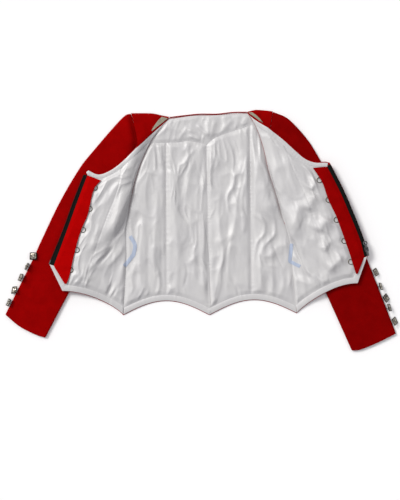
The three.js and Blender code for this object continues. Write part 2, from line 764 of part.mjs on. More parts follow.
const ARMHOLE_FROM = 0.03;
const ARMHOLE_TO = 0.985;
const armholeOf = (side) => (s) => {
  const at = side.armhole(mix(ARMHOLE_FROM, ARMHOLE_TO, s));
  return { x: at.x - side.sign * 2 * GAP, y: at.y };
};
const upArmhole = (t) => Math.min(1, (t - ARMHOLE_FROM) / (ARMHOLE_TO - ARMHOLE_FROM));
const armholeRows = ARMHOLE_STATIONS.slice(1).map(upArmhole);
const SHELL_ROWS = [...steps(4).map((t) => t * UNDERARM), ...armholeRows.map((t) => mix(UNDERARM, 1, t))];
backPanels(
  backHem,
  backTop,
  {
    right: backSide(SIDES.right, 0, armholeOf(SIDES.right)),
    left: backSide(SIDES.left, 0, armholeOf(SIDES.left)),
  },
  ({ hem, top }) => ({ hem, top }),
  "shell",
  (name, shape) => add(name, cloth(shape, floor, steps(4), SHELL_ROWS, 0, SHELL), WOOL),
);

// The lining under the front's fold runs on a little, so no gap shows at the armhole.
const UNDER_FOLD = 5;
const liningBottom = inset(backHem, HEM_INSET + HEM_BAND + GAP);
const liningTop = (t) => ({ x: facingSeam(t).x, y: facingSeam(t).y - 2 * GAP });
const liningEnds = (side) => {
  const far = (t) => liningTop(side.sign < 0 ? t : 1 - t);
  return { from: crossing(side.seamBack, liningBottom)[0], to: crossing(side.seamBack, far)[0] };
};
const liningSide = (side) => {
  const { from, to } = liningEnds(side);
  return backSide(side, from, (s) => {
    const at = side.seamBack(mix(UNDERARM, to, s));
    return { x: at.x + side.sign * UNDER_FOLD * smooth((s - 0.35) * 3), y: at.y };
  });
};
const betweenSeams = (path) => {
  const from = crossing(path, SIDES.right.seamBack)[0];
  const to = crossing((t) => path(1 - t), SIDES.left.seamBack)[0];
  return part(path, from, 1 - to);
};
const bandTop = betweenSeams(inset(backHem, HEM_INSET + HEM_BAND));
const bandBottom = betweenSeams(inset(backHem, HEM_INSET));
const backFoldHeight = foldHeight(BACK_FOLDS, [
  ...Object.values(SIDES).map((side) => side.foldLine),
  steps(30).map(facingSeam),
  steps(40).map(backHem),
]);
backPanels(
  liningBottom,
  liningTop,
  { right: liningSide(SIDES.right), left: liningSide(SIDES.left) },
  ({ hem, facing }) => ({ hem, top: facing }),
  "lining",
  (name, shape) => {
    const { from } = liningEnds(SIDES[name.split("_").pop()]);
    const above = SEAM_ROWS.filter((t) => t > from + ROW_APART);
    const lower = above.map((t) => (UNDERARM * (t - from)) / (UNDERARM - from));
    const rows = [0, ...lower, ...UPPER_ROWS.map((t) => mix(UNDERARM, 1, t))];
    add(name, cloth(shape, floor, steps(7), rows, LINING_LIFT, SATIN, backFoldHeight), SATIN_WHITE);
  },
);

const bandShape = area({
  bottom: bandBottom,
  top: bandTop,
  start: between(bandBottom, bandTop),
  end: between(atEnd(bandBottom), atEnd(bandTop)),
});
add("hem_band_back", cloth(bandShape, floor, steps(28), [0, 1], LINING_LIFT, SATIN), SATIN_WHITE);

const neckFacingFold = foldHeight(NECK_FOLDS, [
  steps(30).map(backNeck),
  steps(30).map(facingSeam),
  SIDES.right.foldLine,
  SIDES.left.foldLine,
]);
const neckFacingTop = curve([
  { t: 0, x: -114, y: 234 },
  { t: 0.22, x: -66, y: 234.5 },
  { t: 0.42, x: -20, y: 240.5 },
  { t: 0.63, x: 30, y: 242 },
  { t: 0.9, x: 93, y: 245.5 },
  { t: 1, x: 119, y: 243 },
]);
add(
  "neck_facing_back",
  cloth(
    area({
      bottom: facingSeam,
      top: neckFacingTop,
      start: between(facingSeam, neckFacingTop),
      end: between(atEnd(facingSeam), atEnd(neckFacingTop)),
    }),
    floor,
    steps(24),
    steps(4),
    LINING_LIFT,
    SATIN,
    neckFacingFold,
  ),
  SATIN_WHITE,
);

// ---------------------------------------------------------------- the fronts

// Columns that keep the same distances from the fold in every row, where the front turns down.
const FOLD_COLUMNS = [32, 24, 18, 13.5, 10, 7, 4.5, 2];
function towardsFold(side, shape, fixed, spread) {
  return (v) => {
    const near = FOLD_COLUMNS.map((distance) => {
      let [a, b] = [0, 1];
      for (let k = 0; k < 24; k++) {
        const u = (a + b) / 2;
        const { x, y } = shape(u, v);
        if (distanceTo(side.foldLine, x, y) > distance) a = u;
        else b = u;
      }
      return (a + b) / 2;
    });
    const last = fixed[fixed.length - 1];
    const even = steps(spread).slice(1, -1);
    return [...fixed, ...even.map((t) => mix(last, near[0], t)), ...near, 1];
  };
}

// Each split ring hangs from its button's shank, which comes through the cloth nearer the zip.
function ringPlaces(side) {
  const [a, b] = [side.facingEdge(0.2), side.facingEdge(0.8)];
  const length = Math.hypot(b.x - a.x, b.y - a.y);
  const toZip = { x: (side.sign * (b.y - a.y)) / length, y: (-side.sign * (b.x - a.x)) / length };
  return side.rings.map((centre) => ({
    centre,
    shank: { x: centre.x + toZip.x * RING_RADIUS, y: centre.y + toZip.y * RING_RADIUS },
  }));
}

// A square post that stands at (x, y), from one height to another.
function post({ x, y }, size, low, high) {
  return new THREE.BoxGeometry(size, size, high - low).translate(x, y, (low + high) / 2);
}

function withHoles(geometry, places) {
  const HOLE = POST + 2 * GAP;
  const ABOVE = 40;
  const holes = places.map(({ shank }) => solid(post(shank, HOLE, 0, ABOVE)));
  return geometryOf(holes.reduce((cut, hole) => cut.subtract(hole), solid(geometry)));
}

const HEM_COLUMNS = [0, 0.12, HEM_CORNER]; // the columns before the fold's own, along the hem

// The outer cloth: the turned part with the lining on it, and the flap beside the neck, which is what is
// left between the fold and the armhole, outside up. The two overlap a little where they are joined.
function frontShell(side, wearer) {
  const OVERLAP = 0.6;
  const FLAP_FROM = 0.12;
  const frontEdge = (v) => {
    const [a, b] = [side.zipOuter(v), side.zipInner(v)];
    return { x: mix(a.x, b.x, TAPE_SEAM), y: mix(a.y, b.y, TAPE_SEAM) };
  };
  const shape = area({
    bottom: (u) => (u === 0 ? frontEdge(0) : side.hem(u)),
    top: (u) => (u === 0 ? frontEdge(1) : side.neck(u)),
    start: frontEdge,
    end: side.fold,
  });
  const columns = towardsFold(side, shape, HEM_COLUMNS, 6);
  const turned = cloth(shape, side.height, columns, rowsBetween(0, 1), 0, SHELL);
  const foldOver = (v) => {
    const at = side.fold(mix(UNDERARM + 0.04, 0.992, v));
    return { x: at.x - side.sign * OVERLAP, y: at.y - OVERLAP };
  };
  const flapShape = area({
    bottom: between(part(side.armhole, FLAP_FROM, 1), foldOver),
    top: (u) => side.shoulderLine(mix(1, 0.01, u)),
    start: part(side.armhole, FLAP_FROM, 1),
    end: foldOver,
  });
  const stations = ARMHOLE_STATIONS.filter((t) => t > FLAP_FROM && t < 1);
  const upFlap = stations.map((t) => (t - FLAP_FROM) / (1 - FLAP_FROM));
  const flap = cloth(flapShape, side.flapHeight, steps(6), [0, ...upFlap, 0.93, 0.97, 1], 0, SHELL);
  add(`front_shell_${wearer}`, withHoles(join(turned, flap), ringPlaces(side)), WOOL);
}

// Near the fold the lining stands a little further off the cloth.
function puff(side, x, y) {
  const away = distanceTo(side.foldLine, x, y);
  return PUFF * smooth(away / 2) * smooth((PUFF_WIDTH - away) / 8);
}

// The satin bands along hem and neck edge, level with the lining.
function frontBands(side, wearer) {
  const band = (a, b, fixed) => {
    const shape = area({ bottom: a, top: b, start: between(a, b), end: between(atEnd(a), atEnd(b)) });
    const columns = towardsFold(side, shape, fixed, 11);
    return cloth(shape, side.height, columns, [0, 1], LINING_LIFT, SATIN, (x, y) => puff(side, x, y));
  };
  // Along the hem, both edges of the band have the front corner at the same share.
  const alongHem = (distance, from) => {
    const path = mitred(side.hem, HEM_CORNER, side.inwards * distance);
    const to = crossing(path, side.seamFront)[0];
    return (u) => {
      if (u < HEM_CORNER) return path(mix(from, HEM_CORNER, u / HEM_CORNER));
      return path(mix(HEM_CORNER, to, (u - HEM_CORNER) / (1 - HEM_CORNER)));
    };
  };
  const hemBand = band(alongHem(HEM_INSET, 0.03), alongHem(HEM_INSET + HEM_BAND, 0.09), HEM_COLUMNS);
  add(`hem_band_front_${wearer}`, hemBand, SATIN_WHITE);
  const NECK_COLUMNS = [0, 0.03, 0.06, 0.1, 0.14];
  const NECK_FROM = 0.02;
  const neckEdge = mitred(side.neck, side.neckCorner, -side.inwards * NECK_INSET);
  const neckLow = mitred(side.neck, side.neckCorner, -side.inwards * (NECK_INSET + NECK_BAND));
  const lowEnd = crossing(neckLow, side.seamFront)[0];
  const neckBand = band(part(neckEdge, NECK_FROM, NECK_END), part(neckLow, NECK_FROM, lowEnd), NECK_COLUMNS);
  add(`neck_band_${wearer}`, neckBand, SATIN_WHITE);
}

// The lining, in two panels on either side of the princess seam.
function frontLining(side, wearer) {
  const CORNER_SHARE = 0.16;
  const SEAM = 0.002; // half a gap, along hem and neck
  const hemSeam = mitred(side.hem, HEM_CORNER, side.inwards * (HEM_INSET + HEM_BAND + 2 * GAP));
  const neckSeam = mitred(side.neck, side.neckCorner, -side.inwards * (NECK_INSET + NECK_BAND + 3 * GAP));
  const zipSide = inset(side.zipInner, side.inwards * -(TAPE_UNDER + GAP));
  const slant = part(hemSeam, HEM_CORNER, -0.1);
  const [slantEnd, zipStart] = crossing(slant, zipSide);
  const [hemEnd, foldStart] = crossing(hemSeam, side.seamFront);
  const [neckEnd, foldEnd] = crossing(neckSeam, side.seamFront);
  const [neckStart, zipEnd] = crossing(neckSeam, zipSide);
  const liningFront = (v) => {
    if (v < CORNER_SHARE) return slant((slantEnd * v) / CORNER_SHARE);
    return zipSide(mix(zipStart, zipEnd, (v - CORNER_SHARE) / (1 - CORNER_SHARE)));
  };
  const hemSplit = lookUpX(hemSeam, side.princess(0).x, HEM_CORNER, hemEnd);
  const neckSplit = lookUpX(neckSeam, side.princess(1).x, neckStart, neckEnd);
  const folds = foldHeight(FRONT_FOLDS[wearer], [
    side.foldLine,
    steps(24).map(side.hem),
    steps(24).map(side.neck),
    steps(24).map(side.facingEdge),
  ]);
  const standing = (x, y) => folds(x, y) + puff(side, x, y);
  const centreShape = area({
    bottom: part(hemSeam, HEM_CORNER, hemSplit - SEAM),
    top: part(neckSeam, neckStart, neckSplit - SEAM),
    start: liningFront,
    end: side.princess,
  });
  const centreRows = [0, CORNER_SHARE / 2, ...steps(12).map((t) => mix(CORNER_SHARE, 1, t))];
  const centre = cloth(centreShape, side.height, steps(8), centreRows, LINING_LIFT, SATIN, standing);
  add(`centre_front_lining_${wearer}`, withHoles(centre, ringPlaces(side)), SATIN_WHITE);
  const sideShape = area({
    bottom: part(hemSeam, hemSplit + SEAM, hemEnd),
    top: part(neckSeam, neckSplit + SEAM, neckEnd),
    start: side.princess,
    end: part(side.seamFront, foldStart, foldEnd),
  });
  const sideColumns = towardsFold(side, sideShape, [0], 3);
  const sideRows = rowsBetween(foldStart, foldEnd).map((t) => (t - foldStart) / (foldEnd - foldStart));
  const sideLining = cloth(sideShape, side.height, sideColumns, sideRows, LINING_LIFT, SATIN, standing);
  add(`side_front_lining_${wearer}`, sideLining, SATIN_WHITE);
}

// The red facing, whose inner edge is free and stands over the split rings.
function facing(side, wearer) {
  const CORNER_SHARE = 0.1; // its slanted lower end
  const TIP = 4; // width of that end's point
  const ZIP_TO = 0.99;
  const FREE_TO = 0.985;
  const zipSeam = (v) => {
    const [tip, foot] = [side.facingEdge(0), side.zipInner(0)];
    if (v < CORNER_SHARE) {
      const s = v / CORNER_SHARE;
      return { x: mix(tip.x + side.sign * TIP, foot.x, s), y: mix(tip.y, foot.y, s) };
    }
    return side.zipInner(((v - CORNER_SHARE) / (1 - CORNER_SHARE)) * ZIP_TO);
  };
  const freeEdge = part(side.facingEdge, 0, FREE_TO);
  const shape = area({
    bottom: between(zipSeam, freeEdge),
    top: between(atEnd(zipSeam), atEnd(freeEdge)),
    start: zipSeam,
    end: freeEdge,
  });
  const rows = [0, CORNER_SHARE, ...steps(14).map((t) => mix(CORNER_SHARE, 1, t)).slice(1)];
  const grid = (extra) =>
    rows.map((v) =>
      [0, 0.3, 0.55, 1].map((u) => {
        const { x, y } = shape(u, v);
        const away = distanceTo(side.zipLine, x, y) - TAPE_WIDTH;
        const lift = FACING_LIFT + FACING_RISE * smooth(away / FACING_SLOPE) + extra;
        return lifted(side.height, x, y, lift);
      }),
    );
  add(`facing_${wearer}`, wall(grid(FACING), grid(0)), WOOL);
}

// The zip: its tape, and the row of teeth along the tape's edge.
function zip(side, wearer) {
  const TAPE_FROM = 0.01;
  const TEETH_FROM = 0.045; // past the box or the pin
  const ZIP_TO = 0.975;
  const TEETH_RISE = 0.7; // the teeth stand proud of the tape on both sides
  const tapeInner = inset(side.zipInner, side.inwards * -TAPE_UNDER);
  const tapeOuter = inset(side.zipOuter, side.inwards * -(TEETH + GAP));
  const teethInner = inset(side.zipOuter, side.inwards * -TEETH);
  const shape = (a, b) => area({ bottom: between(a, b), top: between(atEnd(a), atEnd(b)), start: a, end: b });
  const tapeShape = shape(part(tapeOuter, TAPE_FROM, ZIP_TO), part(tapeInner, TAPE_FROM, ZIP_TO));
  add(`zip_tape_${wearer}`, cloth(tapeShape, side.height, [0, 1], steps(14), LINING_LIFT, SATIN), BLACK);
  const teethShape = shape(part(side.zipOuter, TEETH_FROM, ZIP_TO), part(teethInner, TEETH_FROM, ZIP_TO));
  const [low, thickness] = [LINING_LIFT - TEETH_RISE, SATIN + 2 * TEETH_RISE];
  add(`zip_teeth_${wearer}`, cloth(teethShape, side.height, [0, 1], steps(14), low, thickness), GUNMETAL);
}

// Square buttons outside, each held inside by a split ring through its shank.
function frontButtons(side, wearer) {
  const RING_SIDES = 10;
  const WIRE_SIDES = 4;
  const half = BUTTON_SIDE / 2;
  ringPlaces(side).forEach(({ centre, shank }, k) => {
    const under = (dx, dy) => side.height(shank.x + dx, shank.y + dy);
    const corners = [-half, half].flatMap((dx) => [-half, half].map((dy) => under(dx, dy)));
    const low = Math.min(under(0, 0), ...corners) - 2 * GAP;
    const onLining = side.height(centre.x, centre.y) + LINING_LIFT + SATIN + GAP + RING_WIRE + 0.1;
    const ring = new THREE.TorusGeometry(RING_RADIUS, RING_WIRE, WIRE_SIDES, RING_SIDES);
    ring.translate(centre.x, centre.y, onLining);
    const stem = post(shank, POST, low - BUTTON_PLATE / 2, onLining + RING_WIRE);
    const face = buttonGeometry().rotateX(Math.PI).translate(shank.x, shank.y, low);
    add(`front_button_${wearer}_${k + 1}`, join(face, stem, ring), SILVER);
  });
}

// The parameter at which a curve passes a given x.
function lookUpX(path, x, from, to) {
  const rising = path(to).x > path(from).x;
  let [a, b] = [from, to];
  for (let k = 0; k < 30; k++) {
    const middle = (a + b) / 2;
    if (path(middle).x < x === rising) a = middle;
    else b = middle;
  }
  return (a + b) / 2;
}

// A stamped square button: a thin plate under a low pyramid, its back at z = 0.
function buttonGeometry() {
  const plate = new THREE.BoxGeometry(BUTTON_SIDE, BUTTON_SIDE, BUTTON_PLATE);
  plate.translate(0, 0, BUTTON_PLATE / 2);
  const peak = new THREE.ConeGeometry((BUTTON_SIDE - 0.6) / Math.SQRT2, BUTTON_PEAK, 4)
    .rotateX(Math.PI / 2)
    .rotateZ(Math.PI / 4)
    .translate(0, 0, BUTTON_PLATE + BUTTON_PEAK / 2 - 0.05);
  return join(plate, peak);
}

// ---------------------------------------------------------------- the sleeves

// Each sleeve is cut in two pieces, top and under sleeve, which meet at both edges of the flat sleeve.
const EDGE_ANGLES = [0, 40, 90];
const SLEEVE_ROWS = [0, 0.16, 0.32, 0.48, 0.64, 0.76, 0.86, 0.94, 1];

function sleeve(side, wearer) {
  const shape = area({
    bottom: side.cuff,
    top: (u) => {
      const at = side.armhole(1 - u);
      return { x: at.x + side.sign * 2 * GAP, y: at.y };
    },
    start: side.sleeveOuter,
    end: side.sleeveInner,
  });
  const heightAt = (u, v) => {
    const toUnderarm = smooth((u - 0.2) / 0.5) * smooth((v - 0.78) / 0.2);
    return mix(lookUp(SLEEVE_HEIGHT, "t", v, "height"), UNDERARM_HEIGHT, toUnderarm);
  };
  // Across, the wall turns round both edges and is flat between them.
  const grid = (up, inner) =>
    SLEEVE_ROWS.map((v) => {
      const [a, b] = [shape(0, v), shape(1, v)];
      const width = Math.hypot(b.x - a.x, b.y - a.y);
      const turn = (degrees, far) => {
        const angle = THREE.MathUtils.degToRad(degrees);
        const radius = heightAt(far ? 1 : 0, v) / 2;
        const u = (radius - (radius - inner) * Math.cos(angle)) / width;
        return { u: far ? 1 - u : u, level: Math.sin(angle) };
      };
      const across = [
        ...EDGE_ANGLES.map((degrees) => turn(degrees, false)),
        ...ARMHOLE_STATIONS.toReversed().slice(1, -1).map((t) => ({ u: 1 - t, level: 1 })),
        ...EDGE_ANGLES.toReversed().map((degrees) => turn(degrees, true)),
      ];
      return across.map(({ u, level }) => {
        const { x, y } = shape(u, v);
        const radius = heightAt(u, v) / 2;
        return new THREE.Vector3(x, y, radius + GAP / 2 + up * (GAP / 2 + (radius - inner) * level));
      });
    });
  add(`top_sleeve_${wearer}`, wall(grid(1, 0), grid(1, SLEEVE)), WOOL);
  add(`under_sleeve_${wearer}`, wall(grid(-1, 0), grid(-1, SLEEVE)), WOOL);
}

// The cuff buttons hang on thread shanks from the sleeve's outer edge.
function cuffButtons(side, wearer) {
  const THREAD = 0.8;
  const EDGE_LEVEL = 3.3;
  side.cuffButtons.forEach(({ t, out, rest, turn, tilt }, k) => {
    const edge = side.sleeveOuter(t);
    const [a, b] = [side.sleeveOuter(t - 0.01), side.sleeveOuter(t + 0.01)];
    const along = new THREE.Vector3(b.x - a.x, b.y - a.y, 0).normalize();
    const away = new THREE.Vector3(along.y, -along.x, 0).multiplyScalar(side.sign);
    const heading = Math.atan2(along.y, along.x) + THREE.MathUtils.degToRad(turn);
    const tipped = new THREE.Matrix4()
      .makeRotationAxis(along, side.sign * THREE.MathUtils.degToRad(tilt))
      .multiply(new THREE.Matrix4().makeRotationZ(heading));
    const face = buttonGeometry().applyMatrix4(tipped);
    face.computeBoundingBox();
    const z = rest - face.boundingBox.min.z;
    const middle = new THREE.Vector3(edge.x, edge.y, z).addScaledVector(away, out);
    face.translate(middle.x, middle.y, middle.z);
    const facing = new THREE.Vector3(0, 0, 1).transformDirection(tipped);
    const from = middle.clone().addScaledVector(facing, BUTTON_PLATE / 2);
    const to = new THREE.Vector3(edge.x, edge.y, EDGE_LEVEL).addScaledVector(away, THREAD + GAP / 2);
    const thread = sweep([from, to], THREAD, 6);
    add(`cuff_button_${wearer}_${k + 1}`, join(face, thread), SILVER);
  });
}

// A round bar along points.
function sweep(points, radius, sides) {
  const ring = Array.from({ length: sides }, (_, k) => {
    const angle = (2 * Math.PI * k) / sides;
    return new THREE.Vector2(radius * Math.cos(angle), radius * Math.sin(angle));
  });
  const path = new THREE.CurvePath();
  for (let k = 1; k < points.length; k++) path.add(new THREE.LineCurve3(points[k - 1], points[k]));
  const extrudePath = points.length === 2 ? path.curves[0] : new THREE.CatmullRomCurve3(points);
  return new THREE.ExtrudeGeometry(new THREE.Shape(ring), {
    steps: points.length - 1,
    bevelEnabled: false,
    extrudePath,
  });
}

for (const [wearer, side] of Object.entries(SIDES)) {
  frontShell(side, wearer);
  frontBands(side, wearer);
  frontLining(side, wearer);
  facing(side, wearer);
  zip(side, wearer);
  frontButtons(side, wearer);
  sleeve(side, wearer);
  cuffButtons(side, wearer);
}

// ---------------------------------------------------------------- trimmings

// The red piping along the back neck.
const PIPING_ENDS = 0.035;
const pipingPath = steps(14).map((t) => {
  const { x, y } = backNeck(mix(PIPING_ENDS, 1 - PIPING_ENDS, t));
  return new THREE.Vector3(x, y + 0.5, PIPING_RADIUS);
});
add("neck_piping", sweep(pipingPath, PIPING_RADIUS, 6), WOOL);

// A flat strip along a path, over a height.
function strip(path, width, height, lift, thickness, count) {
  const [a, b] = [inset(path, -width / 2), inset(path, width / 2)];
  const shape = (u, v) => ({ x: mix(a(v).x, b(v).x, u), y: mix(a(v).y, b(v).y, u) });
  return cloth(shape, height, [0, 0.5, 1], steps(count), lift, thickness);
}

for (const [wearer, side] of Object.entries(SIDES)) {
  // Woven braid on the outside, beside the neck edge.
  const braid = strip(side.braid, BRAID_WIDTH, side.flapHeight, SHELL + 2 * GAP, BRAID, 8);
  add(`neck_braid_${wearer}`, braid, BRAID_GREY);

  // Hanger ribbon, sewn into the side seam and lying over both linings.
  const frontFolds = foldHeight(FRONT_FOLDS[wearer], [side.foldLine]);
  const onLining = (x, y) => {
    const seam = lookUp(side.foldLine, "y", y, "x");
    const outside = (x - seam) * side.sign > 0;
    return outside ? side.height(x, y) + frontFolds(x, y) + PUFF : PUFF + backFoldHeight(x, y);
  };
  const onLinings = (x, y) => Math.max(onLining(x, y), onLining(x + 2, y), onLining(x - 2, y));
  const ribbon = strip(side.ribbon, RIBBON_WIDTH, onLinings, LINING_LIFT + SATIN + GAP, RIBBON, 12);
  add(`hanger_ribbon_${wearer}`, ribbon, RIBBON_BLUE);
}

// ---------------------------------------------------------------- the zip's slider, tab, box and pin

// Along the tape: box, slider and first teeth, measured from the lower end.
const BOX = { length: 7.5, width: 4.6, thickness: 3.2 };
const PIN = { length: 9, width: 2.2, thickness: 2.4 };
const SLIDER = { from: 8.3, length: 12, inner: 3.2, outer: 5.0, plate: 0.9, channel: 3.0, wall: 1.1 };
const BAIL = { bar: 0.6, gap: 3.6, post: 1.0, along: 6.6, rise: 2.3 };
const TAB = {
  eye: 1.0,
  eyeOuter: 1.8,
  tongue: 3.0,
  neck: 3.6,
  reach: 12.2,
  ring: 4.75,
  hole: 2.5,
  thickness: 1.3,
  tilt: 9,
};

// A frame on the zip: x across the tape, y along it towards the neck, z up from the teeth's middle.
function zipFrame(side, along) {
  const [a, b] = [side.zipOuter(0), side.zipOuter(0.16)];
  const length = Math.hypot(b.x - a.x, b.y - a.y);
  const up = { x: (b.x - a.x) / length, y: (b.y - a.y) / length };
  const inwards = (-side.sign * TEETH) / 2;
  const at = { x: a.x + up.x * along + up.y * inwards, y: a.y + up.y * along - up.x * inwards };
  const z = side.height(at.x, at.y) + LINING_LIFT + SATIN / 2;
  return new THREE.Matrix4()
    .makeBasis(
      new THREE.Vector3(up.y, -up.x, 0),
      new THREE.Vector3(up.x, up.y, 0),
      new THREE.Vector3(0, 0, 1),
    )
    .setPosition(at.x, at.y, z);
}

const block = (w, l, h, x, y, z) => new THREE.BoxGeometry(w, l, h).translate(x, y, z);

add(
  "zip_box",
  block(BOX.width, BOX.length, BOX.thickness, 1.3, BOX.length / 2, 0).applyMatrix4(zipFrame(SIDES.left, 0)),
  GUNMETAL,
);
add(
  "zip_pin",
  block(PIN.width, PIN.length, PIN.thickness, 0, PIN.length / 2, 0).applyMatrix4(zipFrame(SIDES.right, 0)),
  GUNMETAL,
);

// The slider rides on the end of the teeth: two plates, joined by the flange beyond the teeth.
const across = (SLIDER.outer - SLIDER.inner) / 2;
const plateZ = (SLIDER.channel + SLIDER.plate) / 2;
const plateShape = new THREE.Shape([
  new THREE.Vector2(-SLIDER.inner, 1.5),
  new THREE.Vector2(-SLIDER.inner + 1, 0),
  new THREE.Vector2(SLIDER.outer - 1, 0),
  new THREE.Vector2(SLIDER.outer, 1.5),
  new THREE.Vector2(SLIDER.outer, SLIDER.length - 3),
  new THREE.Vector2(SLIDER.outer - 2, SLIDER.length),
  new THREE.Vector2(-SLIDER.inner + 2, SLIDER.length),
  new THREE.Vector2(-SLIDER.inner, SLIDER.length - 3),
]);
const plate = (z) => {
  const flat = new THREE.ExtrudeGeometry(plateShape, { depth: SLIDER.plate, bevelEnabled: false });
  return flat.translate(0, 0, z - SLIDER.plate / 2);
};
const flange = block(
  SLIDER.wall,
  SLIDER.length - 5,
  SLIDER.channel + SLIDER.plate,
  SLIDER.outer - SLIDER.wall / 2,
  SLIDER.length / 2 - 0.7,
  0,
);
const barZ = plateZ + SLIDER.plate / 2 + BAIL.rise;
const bar = new THREE.CylinderGeometry(BAIL.bar, BAIL.bar, BAIL.gap + BAIL.post, 10)
  .rotateZ(Math.PI / 2)
  .translate(across, BAIL.along, barZ);
const postLength = BAIL.rise + BAIL.bar + 0.3; // sunk a little into the plate
const bailPost = (x) =>
  block(BAIL.post, 2 * BAIL.bar, postLength, x, BAIL.along, barZ + BAIL.bar - postLength / 2);
const postOut = (BAIL.gap + BAIL.post) / 2;
const posts = [bailPost(across - postOut), bailPost(across + postOut)];
const slider = join(plate(plateZ), plate(-plateZ), flange, bar, ...posts);
const sliderFrame = zipFrame(SIDES.left, SLIDER.from);
add("zip_slider", slider.applyMatrix4(sliderFrame), GUNMETAL);

// The pull tab turns on the slider's bar and lies towards the neck.
const tabOutline = new THREE.Shape([
  new THREE.Vector2(-TAB.tongue / 2, 0),
  new THREE.Vector2(TAB.tongue / 2, 0),
  new THREE.Vector2(TAB.tongue / 2, TAB.neck),
  ...steps(10).map((t) => {
    const angle = mix(-50, 230, t) * (Math.PI / 180);
    return new THREE.Vector2(TAB.ring * Math.cos(angle), TAB.reach + TAB.ring * Math.sin(angle));
  }),
  new THREE.Vector2(-TAB.tongue / 2, TAB.neck),
]);
const tabHole = new THREE.Path().absarc(0, TAB.reach, TAB.hole, 0, 2 * Math.PI, true);
tabOutline.holes.push(tabHole);
const tabPlate = new THREE.ExtrudeGeometry(tabOutline, {
  depth: TAB.thickness,
  bevelEnabled: false,
  curveSegments: 5,
}).translate(0, 0, -TAB.thickness / 2);
const pipeAcross = (radius, length) =>
  new THREE.CylinderGeometry(radius, radius, length, 12).rotateZ(Math.PI / 2);
const eye = solid(tabPlate)
  .add(solid(pipeAcross(TAB.eyeOuter, TAB.tongue)))
  .subtract(solid(pipeAcross(TAB.eye, TAB.tongue + 1)));
const tab = geometryOf(eye)
  .rotateX(-THREE.MathUtils.degToRad(TAB.tilt))
  .translate(across, BAIL.along, barZ)
  .applyMatrix4(sliderFrame);
add("zip_pull_tab", tab, GUNMETAL);

// The tables' own origin is near the middle: everything moves so that the origin lies below it exactly.
const box = new THREE.Box3().setFromObject(jacket);
const middle = box.getCenter(new THREE.Vector3());
for (const mesh of jacket.children) mesh.geometry.translate(-middle.x, -middle.y, -box.min.z);

export default jacket;
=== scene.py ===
# A highland dance jacket, laid open on its back with the inside up: red wool cloth, lined in white satin.
# The tables are in millimetres from the middle of the back; every piece is made in metres from them.
import math

import bpy
import numpy as np
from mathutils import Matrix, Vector
from mathutils.bvhtree import BVHTree


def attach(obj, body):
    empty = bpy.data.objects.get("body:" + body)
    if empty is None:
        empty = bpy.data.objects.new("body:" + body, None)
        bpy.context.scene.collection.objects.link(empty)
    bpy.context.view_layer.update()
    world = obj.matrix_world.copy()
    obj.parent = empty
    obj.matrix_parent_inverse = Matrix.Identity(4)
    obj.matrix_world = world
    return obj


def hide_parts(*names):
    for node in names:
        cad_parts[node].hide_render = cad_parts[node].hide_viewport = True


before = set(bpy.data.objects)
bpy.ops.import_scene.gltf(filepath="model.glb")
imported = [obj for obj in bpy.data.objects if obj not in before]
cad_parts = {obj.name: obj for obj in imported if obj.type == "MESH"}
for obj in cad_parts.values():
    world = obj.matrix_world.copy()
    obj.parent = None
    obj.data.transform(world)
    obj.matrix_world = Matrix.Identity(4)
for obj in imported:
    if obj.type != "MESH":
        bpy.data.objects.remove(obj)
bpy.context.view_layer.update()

# ---------------------------------------------------------------- the back's outer cloth
# Four panels of red wool barathea, interlined and sewn into one back. It lies flat on the floor with its
# outside down; the hem is cut in two scallops that meet in a point at the centre seam.

# Where each front turns over: up the side seam and the armhole, from the hem to the neck.
# Rows of every path: share of the way, x, y, and True where the path has a corner.
FOLD = {
    "right": [
        (0, -165, -180), (0.26, -158, -67), (0.45, -158, 10), (0.57, -152, 56), (0.74, -135, 122),
        (0.9, -103, 192), (1, -67, 237),
    ],
    "left": [
        (0, 201, -176), (0.2, 192, -95), (0.36, 186, -32), (0.51, 171, 29), (0.62, 157, 80),
        (0.73, 142, 126), (0.83, 131, 172), (0.93, 115, 217), (1, 96, 248),
    ],
}
ARMHOLE = {
    "right": [
        (0, -158, 28), (0.25, -149, 80), (0.5, -139, 130), (0.74, -133, 180), (0.87, -138, 210),
        (1, -148, 245),
    ],
    "left": [
        (0, 173.5, 24), (0.25, 162, 80), (0.5, 150, 130), (0.74, 144, 180), (0.87, 145, 213),
        (1, 150, 249),
    ],
}
BACK_TOP = [
    (0, -146, 240), (0.2, -92, 236), (0.28, -67, 235.5, True), (0.45, -20, 241.5), (0.6, 30, 243),
    (0.8, 94, 246.5, True), (0.88, 118, 247), (1, 149, 244),
]
SIGN = {"right": -1, "left": 1}
SIDES = ("right", "left")
UNDERARM = 0.5  # where the side seam ends and the armhole starts, along each fold
CENTRE_HEM = (17, -180)
SCALLOP_RISE = 30
GAP = 0.3
WOOL_THICKNESS = 1.4
RIM_ROUNDING = 0.28  # share of a wall's thickness
TABLE_ORIGIN = (-1.239, 0.82, 0)  # the middle of the back, in millimetres of the frame
RED = (0.31, 0.0002, 0.0003, 1)
RED_DEEP = (0.215, 0.0001, 0.0002, 1)


def mix(a, b, t):
    return a + (b - a) * t


def smooth(t):
    t = np.clip(t, 0, 1)
    return t * t * (3 - 2 * t)


def shares(t):
    return np.atleast_1d(np.asarray(t, float))


